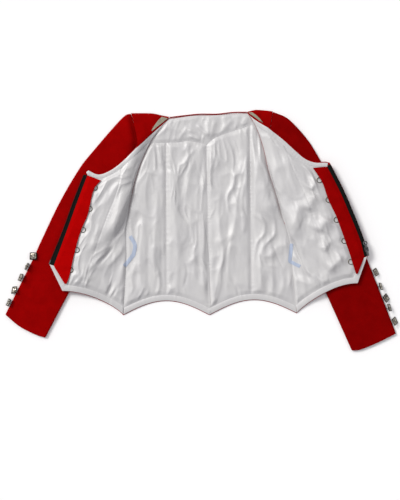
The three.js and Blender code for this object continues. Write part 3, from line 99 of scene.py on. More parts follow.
def curve(rows):
    """A smooth path through the rows: shares of the way give points."""
    t = np.array([row[0] for row in rows], float)
    p = np.array([row[1:3] for row in rows], float)
    chord = (p[1:] - p[:-1]) / (t[1:] - t[:-1])[:, None]
    start, end = chord.copy(), chord.copy()
    for k in range(1, len(rows) - 1):
        if len(rows[k]) == 3:
            start[k] = end[k - 1] = (p[k + 1] - p[k - 1]) / (t[k + 1] - t[k - 1])

    def path(s):
        s = shares(s)
        k = np.clip(np.searchsorted(t, s) - 1, 0, len(t) - 2)
        span = (t[k + 1] - t[k])[:, None]
        x = np.clip((s - t[k])[:, None] / span, 0, 1)
        ends = (2 * x**3 - 3 * x**2 + 1) * p[k] + (3 * x**2 - 2 * x**3) * p[k + 1]
        return ends + span * ((x**3 - 2 * x**2 + x) * start[k] + (x**3 - x**2) * end[k])

    return path


def sideways(x):
    return np.stack([x, 0 * x], 1)


def straight(a, b):
    a, b = np.array(a, float), np.array(b, float)
    return lambda s: mix(a, b, shares(s)[:, None])


def part(path, start, end):
    return lambda s: path(mix(start, end, shares(s)))


def points_on(path, count):
    return path(np.linspace(0, 1, count))


def left_normal(steps):
    length = np.linalg.norm(steps, axis=1, keepdims=True)
    return np.stack([-steps[:, 1], steps[:, 0]], 1) / np.maximum(length, 1e-9)


def beside(path, distance):
    """The path moved to its left, with mitred corners."""
    step = 0.004

    def moved(s):
        s = shares(s)
        at = path(s)
        back, ahead = at - path(s - step), path(s + step) - at
        first, last = (s <= step)[:, None], (s >= 1 - step)[:, None]
        before = left_normal(np.where(first, ahead, back))
        after = np.where(last, before, left_normal(np.where(last, back, ahead)))
        mitre = distance / (1 + np.sum(before * after, 1, keepdims=True))
        return at + (before + after) * mitre

    return moved


def crossing(first, second):
    """Where two paths cross: the share of the way along each."""
    count = 160
    a, b = points_on(first, count + 1), points_on(second, count + 1)
    p, q = np.diff(a, axis=0)[:, None], np.diff(b, axis=0)[None]
    apart = b[None, :-1] - a[:-1, None]
    turn = p[..., 0] * q[..., 1] - p[..., 1] * q[..., 0]
    turn = np.where(np.abs(turn) < 1e-12, 1e-12, turn)
    s = (apart[..., 0] * q[..., 1] - apart[..., 1] * q[..., 0]) / turn
    t = (apart[..., 0] * p[..., 1] - apart[..., 1] * p[..., 0]) / turn
    i, j = np.argwhere((s >= 0) & (s <= 1) & (t >= 0) & (t <= 1))[0]
    return (i + s[i, j]) / count, (j + t[i, j]) / count


def nearest_share(path, point):
    places = np.linspace(0, 1, 401)
    return places[np.argmin(np.linalg.norm(path(places) - point, axis=1))]


def mitred(path, corner, distance):
    """The path moved to its left, its two halves cut where they cross."""
    before, after = beside(part(path, 0, corner), distance), beside(part(path, corner, 1), distance)
    end, start = crossing(before, after)

    def moved(s):
        s = shares(s)
        low = before(np.clip(s / corner, None, 1) * end)
        high = after(mix(start, 1, np.clip((s - corner) / (1 - corner), 0, 1)))
        return np.where((s < corner)[:, None], low, high)

    return moved


def coons(bottom, top, start, end, u, v):
    """Points of a four-sided panel: bottom and top run along its rows, start and end along its columns."""
    shape = u.shape
    u, v = u.ravel(), v.ravel()
    corners = [path(s)[0] for path in (bottom, top) for s in (0, 1)]
    a = start(v) + mix(corners[0] - start(0)[0], corners[2] - start(1)[0], v[:, None])
    b = end(v) + mix(corners[1] - end(0)[0], corners[3] - end(1)[0], v[:, None])
    low, high = bottom(u), top(u)
    u, v = u[:, None], v[:, None]
    bent = mix(mix(corners[0], corners[1], u), mix(corners[2], corners[3], u), v)
    return (mix(low, high, v) + mix(a, b, u) - bent).reshape(*shape, 2)


def panel(bottom, top, start, end, columns, rows):
    """The same as a grid, of a number of columns and rows or at their given shares."""
    u, v = (np.linspace(0, 1, given) if np.isscalar(given) else given for given in (columns, rows))
    return coons(bottom, top, start, end, *np.meshgrid(u, v))


def plane_mesh(name, points, faces, uv=None):
    """An object from points in the tables' millimetres."""
    mesh = bpy.data.meshes.new(name)
    mesh.from_pydata(((np.asarray(points) + TABLE_ORIGIN) / 1000).tolist(), [], faces)
    if uv is not None:
        layer = mesh.uv_layers.new(name="cut")
        index = np.empty(len(mesh.loops), np.int32)
        mesh.loops.foreach_get("vertex_index", index)
        layer.data.foreach_set("uv", (np.asarray(uv) / 1000)[index].astype(np.float32).ravel())
    mesh.shade_smooth()
    mesh.set_sharp_from_angle(angle=math.radians(50))
    piece = bpy.data.objects.new(name, mesh)
    bpy.context.collection.objects.link(piece)
    return piece


def lengths_along(line):
    """How far along a line of points each of them is."""
    return np.cumsum(np.linalg.norm(np.diff(line, axis=0, prepend=line[:1]), axis=1))


def wall(points, thickness, first=0):
    """A closed wall under a grid of points: its points, faces and flat places on the cloth."""
    rows, columns = points.shape[:2]
    normal = np.cross(np.gradient(points, axis=1), np.gradient(points, axis=0))
    flipped = normal[..., 2].mean() < 0
    normal *= (-1 if flipped else 1) / np.maximum(np.linalg.norm(normal, axis=2, keepdims=True), 1e-9)
    rim = np.ones((rows, columns, 1))
    rim[1:-1, 1:-1] = 0
    rounding = RIM_ROUNDING * thickness * rim * normal
    top, under = points - rounding, points - normal * thickness + rounding
    index = np.arange(rows * columns).reshape(rows, columns) + first
    count = rows * columns
    quads = np.stack([index[:-1, :-1], index[:-1, 1:], index[1:, 1:], index[1:, :-1]], -1).reshape(-1, 4)
    loop = np.concatenate([index[0, :-1], index[:-1, -1], index[-1, :0:-1], index[:0:-1, 0]])
    following = np.roll(loop, -1)
    sides = np.stack([following, loop, loop + count, following + count], -1)
    faces = np.concatenate([quads, quads[:, ::-1] + count, sides])
    if flipped:
        faces = faces[:, ::-1]
    along, up = lengths_along(points[rows // 2, :, :2]), lengths_along(points[:, columns // 2, :2])
    uv = np.stack(np.broadcast_arrays(along[None, :], up[:, None]), -1).reshape(-1, 2)
    both = np.concatenate([top.reshape(-1, 3), under.reshape(-1, 3)])
    return both, faces.tolist(), np.concatenate([uv, uv])


def cloth(name, material, *sheets):
    """A piece of cloth from one or more (points, thickness) sheets."""
    points, faces, uvs = [], [], []
    for grid, thickness in sheets:
        made, quads, uv = wall(grid, thickness, sum(len(p) for p in points))
        points, faces, uvs = [*points, made], faces + quads, [*uvs, uv]
    piece = plane_mesh(name, np.concatenate(points), faces, np.concatenate(uvs))
    piece.data.materials.append(material)
    return piece


def at_height(flat, z):
    return np.concatenate([flat, np.broadcast_to(z, flat.shape[:2])[..., None]], 2)


def distance_to(flat, line):
    """How far each point is from a line of points, on which side, and how far along it is."""
    p = flat.reshape(-1, 1, 2)
    a, d = line[None, :-1], np.diff(line, axis=0)[None]
    t = np.clip(np.sum((p - a) * d, 2) / np.maximum(np.sum(d * d, 2), 1e-9), 0, 1)
    off = p - a - d * t[..., None]
    away = np.linalg.norm(off, axis=2)
    k = np.argmin(away, axis=1)[:, None]
    side = np.sign(d[..., 0] * off[..., 1] - d[..., 1] * off[..., 0])
    along = lengths_along(line)[k] + np.take_along_axis(t, k, 1) * np.linalg.norm(d[0], axis=1)[k]
    pick = lambda values: np.take_along_axis(values, k, 1).reshape(flat.shape[:-1])
    return pick(away), pick(side), along.reshape(flat.shape[:-1])


def distance_to_any(flat, lines):
    return np.min([distance_to(flat, line)[0] for line in lines], axis=0)


def add_node(tree, kind, values={}, **settings):
    node = tree.nodes.new(kind)
    for name, value in settings.items():
        setattr(node, name, value)
    for name, value in values.items():
        if isinstance(value, bpy.types.NodeSocket):
            tree.links.new(value, node.inputs[name])
        else:
            node.inputs[name].default_value = value
    return node


def weave_group():
    """Crossing threads on the cloth's own UV map, and a slow mottle: a height and a shade."""
    tree = bpy.data.node_groups.new("woven threads", "ShaderNodeTree")
    for name, value in (("Threads per metre", 1600), ("Slant", 0.0), ("Mottle size", 40), ("Mottle", 0.3)):
        socket = tree.interface.new_socket(name, in_out="INPUT", socket_type="NodeSocketFloat")
        socket.default_value = value
    for name in ("Height", "Shade"):
        tree.interface.new_socket(name, in_out="OUTPUT", socket_type="NodeSocketFloat")
    given = tree.nodes.new("NodeGroupInput").outputs
    place = add_node(tree, "ShaderNodeUVMap", uv_map="cut").outputs["UV"]
    split = add_node(tree, "ShaderNodeSeparateXYZ", {"Vector": place}).outputs

    def math_node(operation, a, b=0.0):
        return add_node(tree, "ShaderNodeMath", {0: a, 1: b}, operation=operation).outputs[0]

    angle = math_node("MULTIPLY", given["Threads per metre"], 2 * math.pi)
    slanted = math_node("ADD", split["X"], math_node("MULTIPLY", split["Y"], given["Slant"]))
    warp = math_node("SINE", math_node("MULTIPLY", slanted, angle))
    weft = math_node("SINE", math_node("MULTIPLY", split["Y"], angle))
    threads = math_node("MULTIPLY", math_node("ADD", warp, weft), 0.25)
    spot = add_node(tree, "ShaderNodeTexCoord").outputs["Object"]
    patches = {"Vector": spot, "Scale": given["Mottle size"], "Detail": 4.0}
    noise = add_node(tree, "ShaderNodeTexNoise", patches)
    mottle = math_node("MULTIPLY", math_node("SUBTRACT", noise.outputs["Fac"], 0.5), given["Mottle"])
    out = tree.nodes.new("NodeGroupOutput")
    tree.links.new(math_node("ADD", threads, mottle), out.inputs["Height"])
    tree.links.new(math_node("ADD", math_node("MULTIPLY", mottle, 2.0), 0.5), out.inputs["Shade"])
    return tree


woven_threads = weave_group()


def patterned(name, group, values, mask, colours, roughness, depth, strength, sockets):
    """A material whose colour and roughness follow a group's mask, and its bump the group's height."""
    material = bpy.data.materials.new(name)
    material.use_nodes = True
    tree = material.node_tree
    shader = tree.nodes["Principled BSDF"]
    pattern = add_node(tree, "ShaderNodeGroup", values, node_tree=group).outputs
    tinted = {"Factor": pattern[mask], 6: colours[0], 7: colours[1]}
    tint = add_node(tree, "ShaderNodeMix", tinted, data_type="RGBA")
    tree.links.new(tint.outputs[2], shader.inputs["Base Color"])
    dulled = {"Value": pattern[mask], "To Min": roughness[0], "To Max": roughness[1]}
    rough = add_node(tree, "ShaderNodeMapRange", dulled)
    tree.links.new(rough.outputs["Result"], shader.inputs["Roughness"])
    raised_by = {"Height": pattern["Height"], "Distance": depth, "Strength": strength}
    bump = add_node(tree, "ShaderNodeBump", raised_by)
    tree.links.new(bump.outputs["Normal"], shader.inputs["Normal"])
    for key, value in sockets.items():
        shader.inputs[key.replace("_", " ")].default_value = value
    return material


def woven(name, light, dark, roughness, threads, depth, mottle=0.3, size=40, slant=0.0, **sockets):
    """A woven cloth's material: two colours mixed by its mottle, and a bump from its threads."""
    values = {"Threads per metre": threads, "Slant": slant, "Mottle size": size, "Mottle": mottle}
    spread = roughness + 0.06, roughness - 0.06
    return patterned(
        name, woven_threads, values, "Shade", (dark, light), spread, depth, strength=1.0, sockets=sockets,
    )


def red_wool(name, share=1.0):
    """Red wool; a share other than 1 scales its colours lighter or darker, as painted light or shade on one
    side of the jacket.
    """
    light, dark = ((*(share * value for value in colour[:3]), 1) for colour in (RED, RED_DEEP))
    return woven(
        name, light, dark, roughness=0.82, threads=1500, depth=0.00012, mottle=0.55, size=60, slant=0.5,
        Sheen_Weight=0.05, Sheen_Roughness=0.45, Sheen_Tint=(1, 0.05, 0.04, 1), Specular_IOR_Level=0.02,
    )


wool = red_wool("red wool barathea")

fold = {side: curve(FOLD[side]) for side in SIDES}
fold_line = {side: points_on(fold[side], 61) for side in SIDES}
armhole = {side: curve(ARMHOLE[side]) for side in SIDES}


def beside_fold(side, distance):
    return lambda s: fold[side](s) + (SIGN[side] * distance, 0)


def scallop(a, b):
    rise = lambda s: SCALLOP_RISE * np.sin(math.pi * shares(s))
    return lambda s: straight(a, b)(s) + np.stack([0 * rise(s), rise(s)], 1)


hem_scallops = scallop(fold["right"](0)[0], CENTRE_HEM), scallop(CENTRE_HEM, fold["left"](0)[0])


def back_hem(s):
    s = shares(s)
    first, second = (hem_scallops[k](np.clip(2 * s - k, 0, 1)) for k in (0, 1))
    return np.where((s < 0.5)[:, None], first, second)


def back_side(side):
    lower, upper = beside_fold(side, -GAP), armhole[side]

    def path(s):
        s = shares(s)
        high = upper(mix(0.03, 0.985, np.clip((s - UNDERARM) / (1 - UNDERARM), 0, 1)))
        return np.where((s <= UNDERARM)[:, None], lower(s), high - (SIGN[side] * 2 * GAP, 0))

    return path


flat = panel(back_hem, curve(BACK_TOP), back_side("right"), back_side("left"), columns=160, rows=150)
back_cloth = cloth("back_cloth", wool, (at_height(flat, WOOL_THICKNESS), WOOL_THICKNESS))
back_shells = [f"{part_of}_back_shell_{side}" for part_of in ("side", "centre") for side in SIDES]
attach(back_cloth, "jacket")
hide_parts(*back_shells)

# ---------------------------------------------------------------- the back's lining
# White satin, cut fuller than the wool and caught down at its seams, so it lies in long soft folds with
# small puckers along each seam. Three seams run from the hem band to the neck facing.
HEM_INSET = 1.3
HEM_BAND = 12
BAND_OVER = 0.3  # how much higher the bands and the facing lie than the lining
LINING_TOP = 2.7  # the satin's upper side, above the wool's underside
SATIN_THICKNESS = 0.6
UNDER_FOLD = 5  # it runs on a little under the front's fold
TUCK = 2.5  # and this far under the neck facing and the hem band
TUCK_DROP = 0.7
FACING_SEAM = [
    (0, -116, 183), (0.28, -53, 185), (0.4, -26, 188), (0.55, 11, 180, True), (0.63, 29, 195),
    (0.8, 71, 210), (1, 119, 226),
]
BACK_SEAMS = [(-74, -74), (17, 11), (105, 102)]  # x at the hem and at the neck facing
SATIN_LIGHT = (0.56, 0.553, 0.54, 1)
SATIN_SHADE = (0.47, 0.463, 0.475, 1)

RUN_OUT = 3.5  # how soon a fold reaches its height from either end
DEEPEST = -0.75  # of the back lining's hollows

# Folds: height, half width to the left and to the right of the line, then the line's points.
BACK_FOLDS = [
    (3.0, 9, 6, (-97, -128), (-99, -40), (-94, 40), (-92, 100)),
    (2.6, 6, 10, (-122, -150), (-130, -70), (-124, 10), (-128, 60)),
    (1.6, 7, 5, (-112, 20), (-118, 80), (-104, 150)),
    (2.2, 6, 8, (-141, -150), (-146, -110), (-137, -60)),
    (3.0, 8, 10, (-52, -128), (-50, -40), (-58, 50), (-54, 140)),
    (2.2, 5, 8, (-20, -136), (-14, -50), (-24, 30), (-19, 80)),
    (2.4, 5, 7, (-36, 50), (-26, 110), (-10, 170)),
    (2.2, 6, 5, (8, -160), (3, -80), (6, 0), (-2, 60)),
    (3.6, 5, 9, (2, 70), (13, 120), (22, 176)),
    (-1.5, 4, 4, (-8, 84), (0, 124), (6, 168)),
    (2.2, 5, 5, (-40, 120), (-30, 150), (-8, 176)),
    (2.0, 5, 6, (30, 120), (34, 150), (18, 180)),
    (2.8, 9, 6, (38, -130), (44, -50), (36, 30), (42, 110)),
    (3.0, 6, 8, (62, -120), (56, -60), (74, 40), (66, 90), (80, 160)),
    (2.4, 5, 6, (92, -30), (86, 60), (94, 120), (84, 170)),
    (1.8, 5, 6, (82, 40), (92, 20), (88, -10)),
    (3.2, 7, 9, (130, -138), (124, -70), (130, 0), (112, 66)),
    (2.6, 8, 6, (158, -150), (150, -90), (140, 20)),
    (1.8, 6, 6, (170, -140), (172, -100), (164, -60)),
    (2.0, 6, 7, (112, 90), (118, 140), (104, 196)),
    (1.6, 6, 6, (-70, 110), (-84, 150), (-96, 172)),
    (1.7, 10, 10, (20, -40), (70, -10), (96, -60)),
    (1.5, 9, 9, (-60, 20), (-30, -20), (0, -60)),
    (9.0, 15, 24, (114, 178), (124, 124), (138, 70), (158, 8)),
    (-2.2, 2.6, 2.6, (148, -24), (158, -50), (174, -88)),
    (-2.0, 2.4, 2.8, (60, -96), (74, -120), (82, -150)),
    (-1.8, 2.6, 2.4, (-36, -60), (-30, -92), (-40, -128)),
    (2.6, 10, 18, (-140, 20), (-128, 70), (-116, 120)),
    (-1.3, 4, 4, (-83, -120), (-84, -20), (-80, 60)),
    (-1.3, 5, 5, (-110, -140), (-113, -60), (-108, 20)),
    (-1.2, 4, 5, (52, -120), (54, -30), (60, 60)),
    (-1.3, 4, 4, (114, -120), (113, -40), (101, 60)),
]


def ridges(flat, rows):
    """Listed folds and creases, which run out at both ends."""
    total = np.zeros(flat.shape[:-1])
    for height, left, right, *points in rows:
        steps = np.linspace(0, 1, len(points))
        line = points_on(curve([(t, *point) for t, point in zip(steps, points)]), 14)
        away, side, along = distance_to(flat, line)
        t = along / np.linalg.norm(np.diff(line, axis=0), axis=1).sum()
        across = away / np.where(side > 0, left, right)
        running_out = smooth(t * RUN_OUT) * smooth((1 - t) * RUN_OUT)
        total += height * running_out * np.exp(-(across**1.6))
    return total


def soft_noise(points, seed):
    """Smooth random heights from 0 to 1 over the plane, one bump to each unit."""
    cells = 64
    table = np.random.default_rng(seed).random((cells, cells))
    cell = np.floor(points).astype(int)
    t = points - cell
    t = t**3 * (t * (t * 6 - 15) + 10)
    a, b = cell[..., 0] % cells, cell[..., 1] % cells
    right, above = (a + 1) % cells, (b + 1) % cells
    low = mix(table[a, b], table[right, b], t[..., 0])
    high = mix(table[a, above], table[right, above], t[..., 0])
    return mix(low, high, t[..., 1])


def along_and_across(flat, heading):
    angle = math.radians(heading)
    along = flat[..., 0] * math.cos(angle) + flat[..., 1] * math.sin(angle)
    return along, flat[..., 1] * math.cos(angle) - flat[..., 0] * math.sin(angle)


def loose_folds(flat, seed, heading):
    """Soft wandering folds, longer along the heading than across it, with calm patches between."""
    along, across = along_and_across(flat, heading)
    place = np.stack([across, along], -1)
    wander = np.stack([soft_noise(place / (34, 52), seed + k) for k in (0, 1)], -1) - 0.5
    curl = np.stack([soft_noise(place / (15, 24), seed + k) for k in (5, 6)], -1) - 0.5
    crest = lambda n: 1 - np.sqrt((2 * n - 1) ** 2 * 2.2 + 0.02)
    big = crest(soft_noise((place + wander * (34, 60)) / (22, 80), seed + 2))
    small = crest(soft_noise((place + wander * (26, 30) + curl * (6, 12)) / (11, 34), seed + 3))
    fine = soft_noise((place + curl * (5, 10)) / (5.5, 16), seed + 4) - 0.5
    busy = smooth(soft_noise(place / (42, 70), seed + 7) * 1.6 - 0.1)
    return 2.0 * np.maximum(big, -0.6) + mix(0.25, 1.15, busy) * np.maximum(small, -0.6) + 0.3 * fine


def ripples(flat, seed, count, height, width, length, heading, spread):
    """Many short soft wrinkles, scattered over the cloth and mostly along one heading."""
    rng = np.random.default_rng(seed)
    low, high = flat.reshape(-1, 2).min(0), flat.reshape(-1, 2).max(0)
    total = np.zeros(flat.shape[:-1])
    for _ in range(count):
        centre, way = rng.uniform(low, high), heading + rng.normal(0, spread)
        size, reach = width * rng.uniform(0.6, 1.5), length * rng.uniform(0.5, 1.6)
        along, across = along_and_across(flat - centre, way)
        across = across + rng.uniform(-1, 1) * size * (along / reach) ** 2
        crest = np.exp(-(np.abs(across / size) ** 1.5) - (along / reach) ** 2)
        total += height * rng.uniform(-0.8, 1) * crest
    return total


def puckers(flat, line, seed, height, pitch, reach):
    """Small gathers that run out from a seam."""
    rng = np.random.default_rng(seed)
    away, _, along = distance_to(flat, line)
    wave = lambda: np.sin(along / pitch * rng.uniform(0.6, 1.6) * 2 * math.pi + rng.uniform(0, 6.3))
    waves = sum(wave() for _ in range(4)) / 4
    patches = 0.4 + 0.6 * smooth(0.5 + np.sin(along / (9 * pitch) * 2 * math.pi + rng.uniform(0, 6.3)))
    return height * waves * patches * np.exp(-((away / reach) ** 2))


def groove(flat, line, depth, width):
    away, _, _ = distance_to(flat, line)
    return -depth * np.exp(-((away / width) ** 2))


def satin(name, light, dark, roughness):
    return woven(
        name, light, dark, roughness, threads=2600, depth=0.00004, mottle=0.35, size=26, slant=0.25,
        Sheen_Weight=0.05, Sheen_Roughness=0.3, Specular_IOR_Level=0.9, IOR=1.6,
    )


white_satin = satin("white satin", SATIN_LIGHT, SATIN_SHADE, 0.46)

facing_seam = curve(FACING_SEAM)
lining_bottom = beside(back_hem, HEM_INSET + HEM_BAND - TUCK)
lining_top = lambda s: facing_seam(s) + (0, TUCK)


def lining_side(side):
    lower = beside_fold(side, -GAP)
    far = lining_top if side == "right" else lambda s: lining_top(1 - shares(s))
    start, end = crossing(lower, lining_bottom)[0], crossing(lower, far)[0]

    def path(s):
        at = lower(mix(start, end, shares(s)))
        up = (shares(s) - UNDERARM) / (1 - UNDERARM)
        return at + sideways(SIGN[side] * UNDER_FOLD * smooth((up - 0.2) * 3))

    return path


def seam_line(rows, bottom, top):
    low, high = points_on(bottom, 400), points_on(top, 400)
    a, b = low[np.argmin(abs(low[:, 0] - rows[0]))], high[np.argmin(abs(high[:, 0] - rows[1]))]
    return mix(a, b, np.linspace(0, 1, 40)[:, None])


back_seam_lines = [seam_line(rows, lining_bottom, lining_top) for rows in BACK_SEAMS]
facing_seam_line = points_on(facing_seam, 60)
hem_seam_line = points_on(beside(back_hem, HEM_INSET + HEM_BAND), 121)


def tucked(flat, line, outside):
    """How much lower the lining lies beyond a line, where it runs on under the band sewn over it."""
    away, on_side, _ = distance_to(flat, line)
    return TUCK_DROP * smooth(away * (on_side * outside > 0) / 1.2)


def back_relief(flat):
    """How far the back's lining stands over its seams."""
    height = 1.4 + 0.8 * ridges(flat, BACK_FOLDS) + 1.15 * loose_folds(flat, seed=11, heading=92)
    height += ripples(flat, seed=4, count=60, height=0.4, width=3.2, length=20, heading=75, spread=35)
    near = distance_to_any(flat, (*back_seam_lines, facing_seam_line, hem_seam_line))
    height *= smooth((near + 1.5) / 11)
    for k, line in enumerate(back_seam_lines):
        height += puckers(flat, line, seed=20 + k, height=0.28, pitch=9, reach=7)
        height += groove(flat, line, depth=0.5, width=2.0)
    height += puckers(flat, hem_seam_line, seed=30, height=0.35, pitch=8, reach=9)
    height += puckers(flat, facing_seam_line, seed=31, height=0.5, pitch=11, reach=12)
    return np.maximum(height, DEEPEST)


def kept_down(flat):
    """Less room for folds where the fronts turn over, and none beyond, where it runs on under them."""
    inside = []
    for side in SIDES:
        away, on_side, _ = distance_to(flat, fold_line[side])
        inside.append(away * on_side * SIGN[side])
    near = np.min(inside, axis=0)
    return smooth((near + 1) / 9)


flat = panel(lining_bottom, lining_top, lining_side("right"), lining_side("left"), columns=180, rows=178)
relief = back_relief(flat) * kept_down(flat)
relief -= tucked(flat, facing_seam_line, 1) + tucked(flat, hem_seam_line, -1)
lining_shells = [f"{part_of}_back_lining_{side}" for part_of in ("side", "centre") for side in SIDES]
back_lining = cloth("back_lining", white_satin, (at_height(flat, LINING_TOP + relief), SATIN_THICKNESS))
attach(back_lining, "jacket")
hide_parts(*lining_shells)

# ---------------------------------------------------------------- the back's hem band and neck facing
# Satin again: a narrow band that follows the scallops just inside the red edge, and a shaped facing across
# the back neck, whose lower seam is bunched into pleats where it dips at the centre.
BAND_ROWS = 9
NECK_FACING_TOP = [
    (0, -114, 234), (0.22, -66, 234.5), (0.42, -20, 240.5), (0.63, 30, 242), (0.9, 93, 245.5), (1, 119, 243),
]
NECK_FOLDS = [
    (2.8, 3.5, 5, (-34, 216), (-14, 203), (3, 186)),
    (2.6, 3.5, 4, (-12, 224), (4, 208), (18, 196)),
    (-1.6, 3, 3, (-24, 208), (-8, 196), (8, 184)),
    (1.8, 4, 4, (-30, 200), (-14, 194), (2, 184)),
    (1.8, 6, 8, (-84, 228), (-60, 214), (-38, 202)),
    (2.2, 4, 6, (14, 190), (14, 210), (10, 234)),
    (1.9, 5, 5, (22, 196), (24, 214), (30, 234)),
    (1.6, 6, 6, (46, 210), (56, 222), (66, 236)),
    (1.8, 6, 5, (84, 218), (90, 230), (98, 240)),
    (1.4, 5, 5, (-104, 196), (-84, 206), (-66, 222)),
    (1.2, 4, 4, (-48, 192), (-36, 206), (-28, 224)),
]


def between_folds(path):
    start = crossing(path, beside_fold("right", -GAP))[0]
    end = crossing(lambda s: path(1 - shares(s)), beside_fold("left", -GAP))[0]
    return part(path, start, 1 - end)


def ends(a, b):
    """The two short sides of a strip between two paths."""
    return straight(a(0)[0], b(0)[0]), straight(a(1)[0], b(1)[0])


def band_rise(rows):
    """A folded band is a little fuller along its middle."""
    return BAND_OVER + 0.4 * np.sin(np.linspace(0, math.pi, rows))[:, None]


band_edge = between_folds(beside(back_hem, HEM_INSET))
band_seam = between_folds(beside(back_hem, HEM_INSET + HEM_BAND))
flat = panel(band_edge, band_seam, *ends(band_edge, band_seam), columns=260, rows=BAND_ROWS)
stitched_down = groove(flat, points_on(band_seam, 90), depth=0.25, width=1.6)
relief = puckers(flat, hem_seam_line, seed=30, height=0.3, pitch=8, reach=9) + stitched_down
relief += band_rise(BAND_ROWS)
top = at_height(flat, LINING_TOP + relief)
hem_band_back = cloth("hem_band_back_satin", white_satin, (top, SATIN_THICKNESS))
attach(hem_band_back, "jacket")
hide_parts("hem_band_back")

neck_top = curve(NECK_FACING_TOP)
flat = panel(facing_seam, neck_top, *ends(facing_seam, neck_top), columns=118, rows=30)
near = distance_to(flat, points_on(neck_top, 40))[0]
relief = 0.8 + ridges(flat, NECK_FOLDS) + 0.7 * loose_folds(flat, seed=70, heading=75)
relief *= smooth((near + 1) / 9)
relief *= 0.15 + 0.85 * smooth((distance_to(flat, facing_seam_line)[0] + 1) / 9)
relief += puckers(flat, facing_seam_line, seed=31, height=0.5, pitch=11, reach=10)
relief *= 0.25 + 0.75 * kept_down(flat)
top = at_height(flat, LINING_TOP + BAND_OVER / 2 + relief)
neck_facing = cloth("neck_facing_satin", white_satin, (top, SATIN_THICKNESS))
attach(neck_facing, "jacket")
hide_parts("neck_facing_back")

# ---------------------------------------------------------------- the fronts' outer cloth
# Each front is turned out over its own sleeve along the side seam and armhole. What shows of its wool is the
# edge round its lining, and the flap beside the neck, which stays outside up and rolls over the shoulder.
NECK = {
    "right": [
        (0, -245, 120), (0.06, -237, 127, True), (0.17, -216, 118), (0.29, -194, 125), (0.42, -171, 141),
        (0.59, -142, 169), (0.83, -103, 208), (1, -67, 237),
    ],
    "left": [
        (0, 269, 141), (0.04, 261, 143, True), (0.15, 238, 143), (0.25, 219, 150), (0.38, 198, 167),
        (0.52, 174, 189), (0.66, 150, 208), (0.8, 128, 225), (1, 96, 248),
    ],
}
SHOULDER = {
    "right": [(0, -67, 238), (0.2, -84, 241), (0.5, -104, 245), (1, -148, 245.5)],
    "left": [(0, 96, 248.5), (0.15, 104, 250.5), (0.4, 117, 252.5), (1, 150, 249.5)],
}
ZIP_OUTER = {
    "right": [(0, -320, -71), (0.37, -291, 0), (0.69, -269, 61), (1, -247, 117)],
    "left": [(0, 349, -54), (0.16, 341, -20), (0.47, 316, 44), (0.68, 298, 84), (1, 270, 139)],
}
ZIP_INNER = {
    "right": [(0, -309, -75), (0.37, -281, 0), (0.69, -259, 61), (1, -238, 116)],
    "left": [(0, 341, -56), (0.16, 332, -21), (0.47, 307, 41), (0.68, 290, 80), (1, 262, 134)],
}
FRONT_CORNER = {"right": (-292, -129), "left": (328, -113)}
HEM_POWER = {"right": 0.8, "left": 0.9}
HEM_CORNER = 0.25  # share of the front hem that slants up to the zip
# At each y: z of the front's underside at the fold, and how far in from there it reaches its full height.
LIFT = {
    "right": [(-180, 0, 130), (-60, 0, 92), (0, 0, 36), (18, 1.6, 24), (34, 3.3, 20), (240, 3.3, 20)],
    "left": [(-176, 0, 84), (-60, 0, 50), (0, 0, 28), (14, 1.8, 22), (30, 3.3, 20), (250, 3.3, 20)],
}
PLATEAU = 12.3  # its full height, over the sleeve
TAPE_SEAM = 0.62  # how far across the tape the cloth's edge lies
LAP = {"right": 1.5, "left": 0}  # how far the flap's edge lies over the sleeve's sunken head
FLAP_CREASES = {
    "right": [
        (-0.8, 6, 3, (-150, 250), (-139, 214), (-133.5, 186), (-136, 150), (-140, 120)),
        (1.0, 8, 8, (-126, 234), (-120, 208), (-116, 190)),
    ],
    "left": [
        (-1.9, 6, 9, (118, 248), (130, 230), (148, 204)),
        (1.2, 8, 8, (128, 248), (142, 234), (152, 222)),
    ],
}

zip_outer = {side: curve(ZIP_OUTER[side]) for side in SIDES}
zip_inner = {side: curve(ZIP_INNER[side]) for side in SIDES}
neck_path = {side: curve(NECK[side]) for side in SIDES}
shoulder = {side: curve(SHOULDER[side]) for side in SIDES}


def front_hem(side):
    """From below the zip round the front corner to the side seam."""
    start, corner, end = zip_outer[side](0)[0], np.array(FRONT_CORNER[side]), fold[side](0)[0]

    def path(s):
        s = shares(s)
        far = np.clip((1 - s) / (1 - HEM_CORNER), 0, 1)
        rise = np.sin(math.pi / 2 * far) ** HEM_POWER[side]
        arc = np.stack([mix(end[0], corner[0], far), mix(end[1], corner[1], rise)], 1)
        return np.where((s < HEM_CORNER)[:, None], straight(start, corner)(s / HEM_CORNER), arc)

    return path


def front_height(side, flat):
    """z of the front's underside."""
    y, base, reach = np.array(LIFT[side]).T
    away = distance_to(flat, fold_line[side])[0]
    rise = smooth(away / np.interp(flat[..., 1], y, reach))
    return mix(np.interp(flat[..., 1], y, base), PLATEAU, rise)


def flap_height(side, flat):
    rise = 2.0 * smooth(distance_to(flat, fold_line[side])[0] / 25)
    near = np.clip(distance_to(flat, points_on(shoulder[side], 17))[0] / 5, 0, 1)
    return mix(2.1, 3.3 + rise, 0.15 + 0.85 * np.sqrt(1 - (1 - near) ** 2))


def raised(points, offset):
    """A grid's points, moved out along its own normals."""
    normal = np.cross(np.gradient(points, axis=1), np.gradient(points, axis=0))
    normal *= (-1 if normal[..., 2].mean() < 0 else 1) / np.linalg.norm(normal, axis=2, keepdims=True)
    return points + normal * np.broadcast_to(offset, points.shape[:2])[..., None]


def front_surface(side, flat, lift):
    return raised(at_height(flat, front_height(side, flat)), lift)


def flap_edge(side):
    """The flap's edge along the armhole, with its lap over the sleeve's head."""

    def path(s):
        s = shares(s)
        lap = LAP[side] * smooth((s - 0.58) / 0.12) * smooth((0.95 - s) / 0.1)
        return part(armhole[side], 0.12, 1)(s) + sideways(SIGN[side] * lap)

    return path


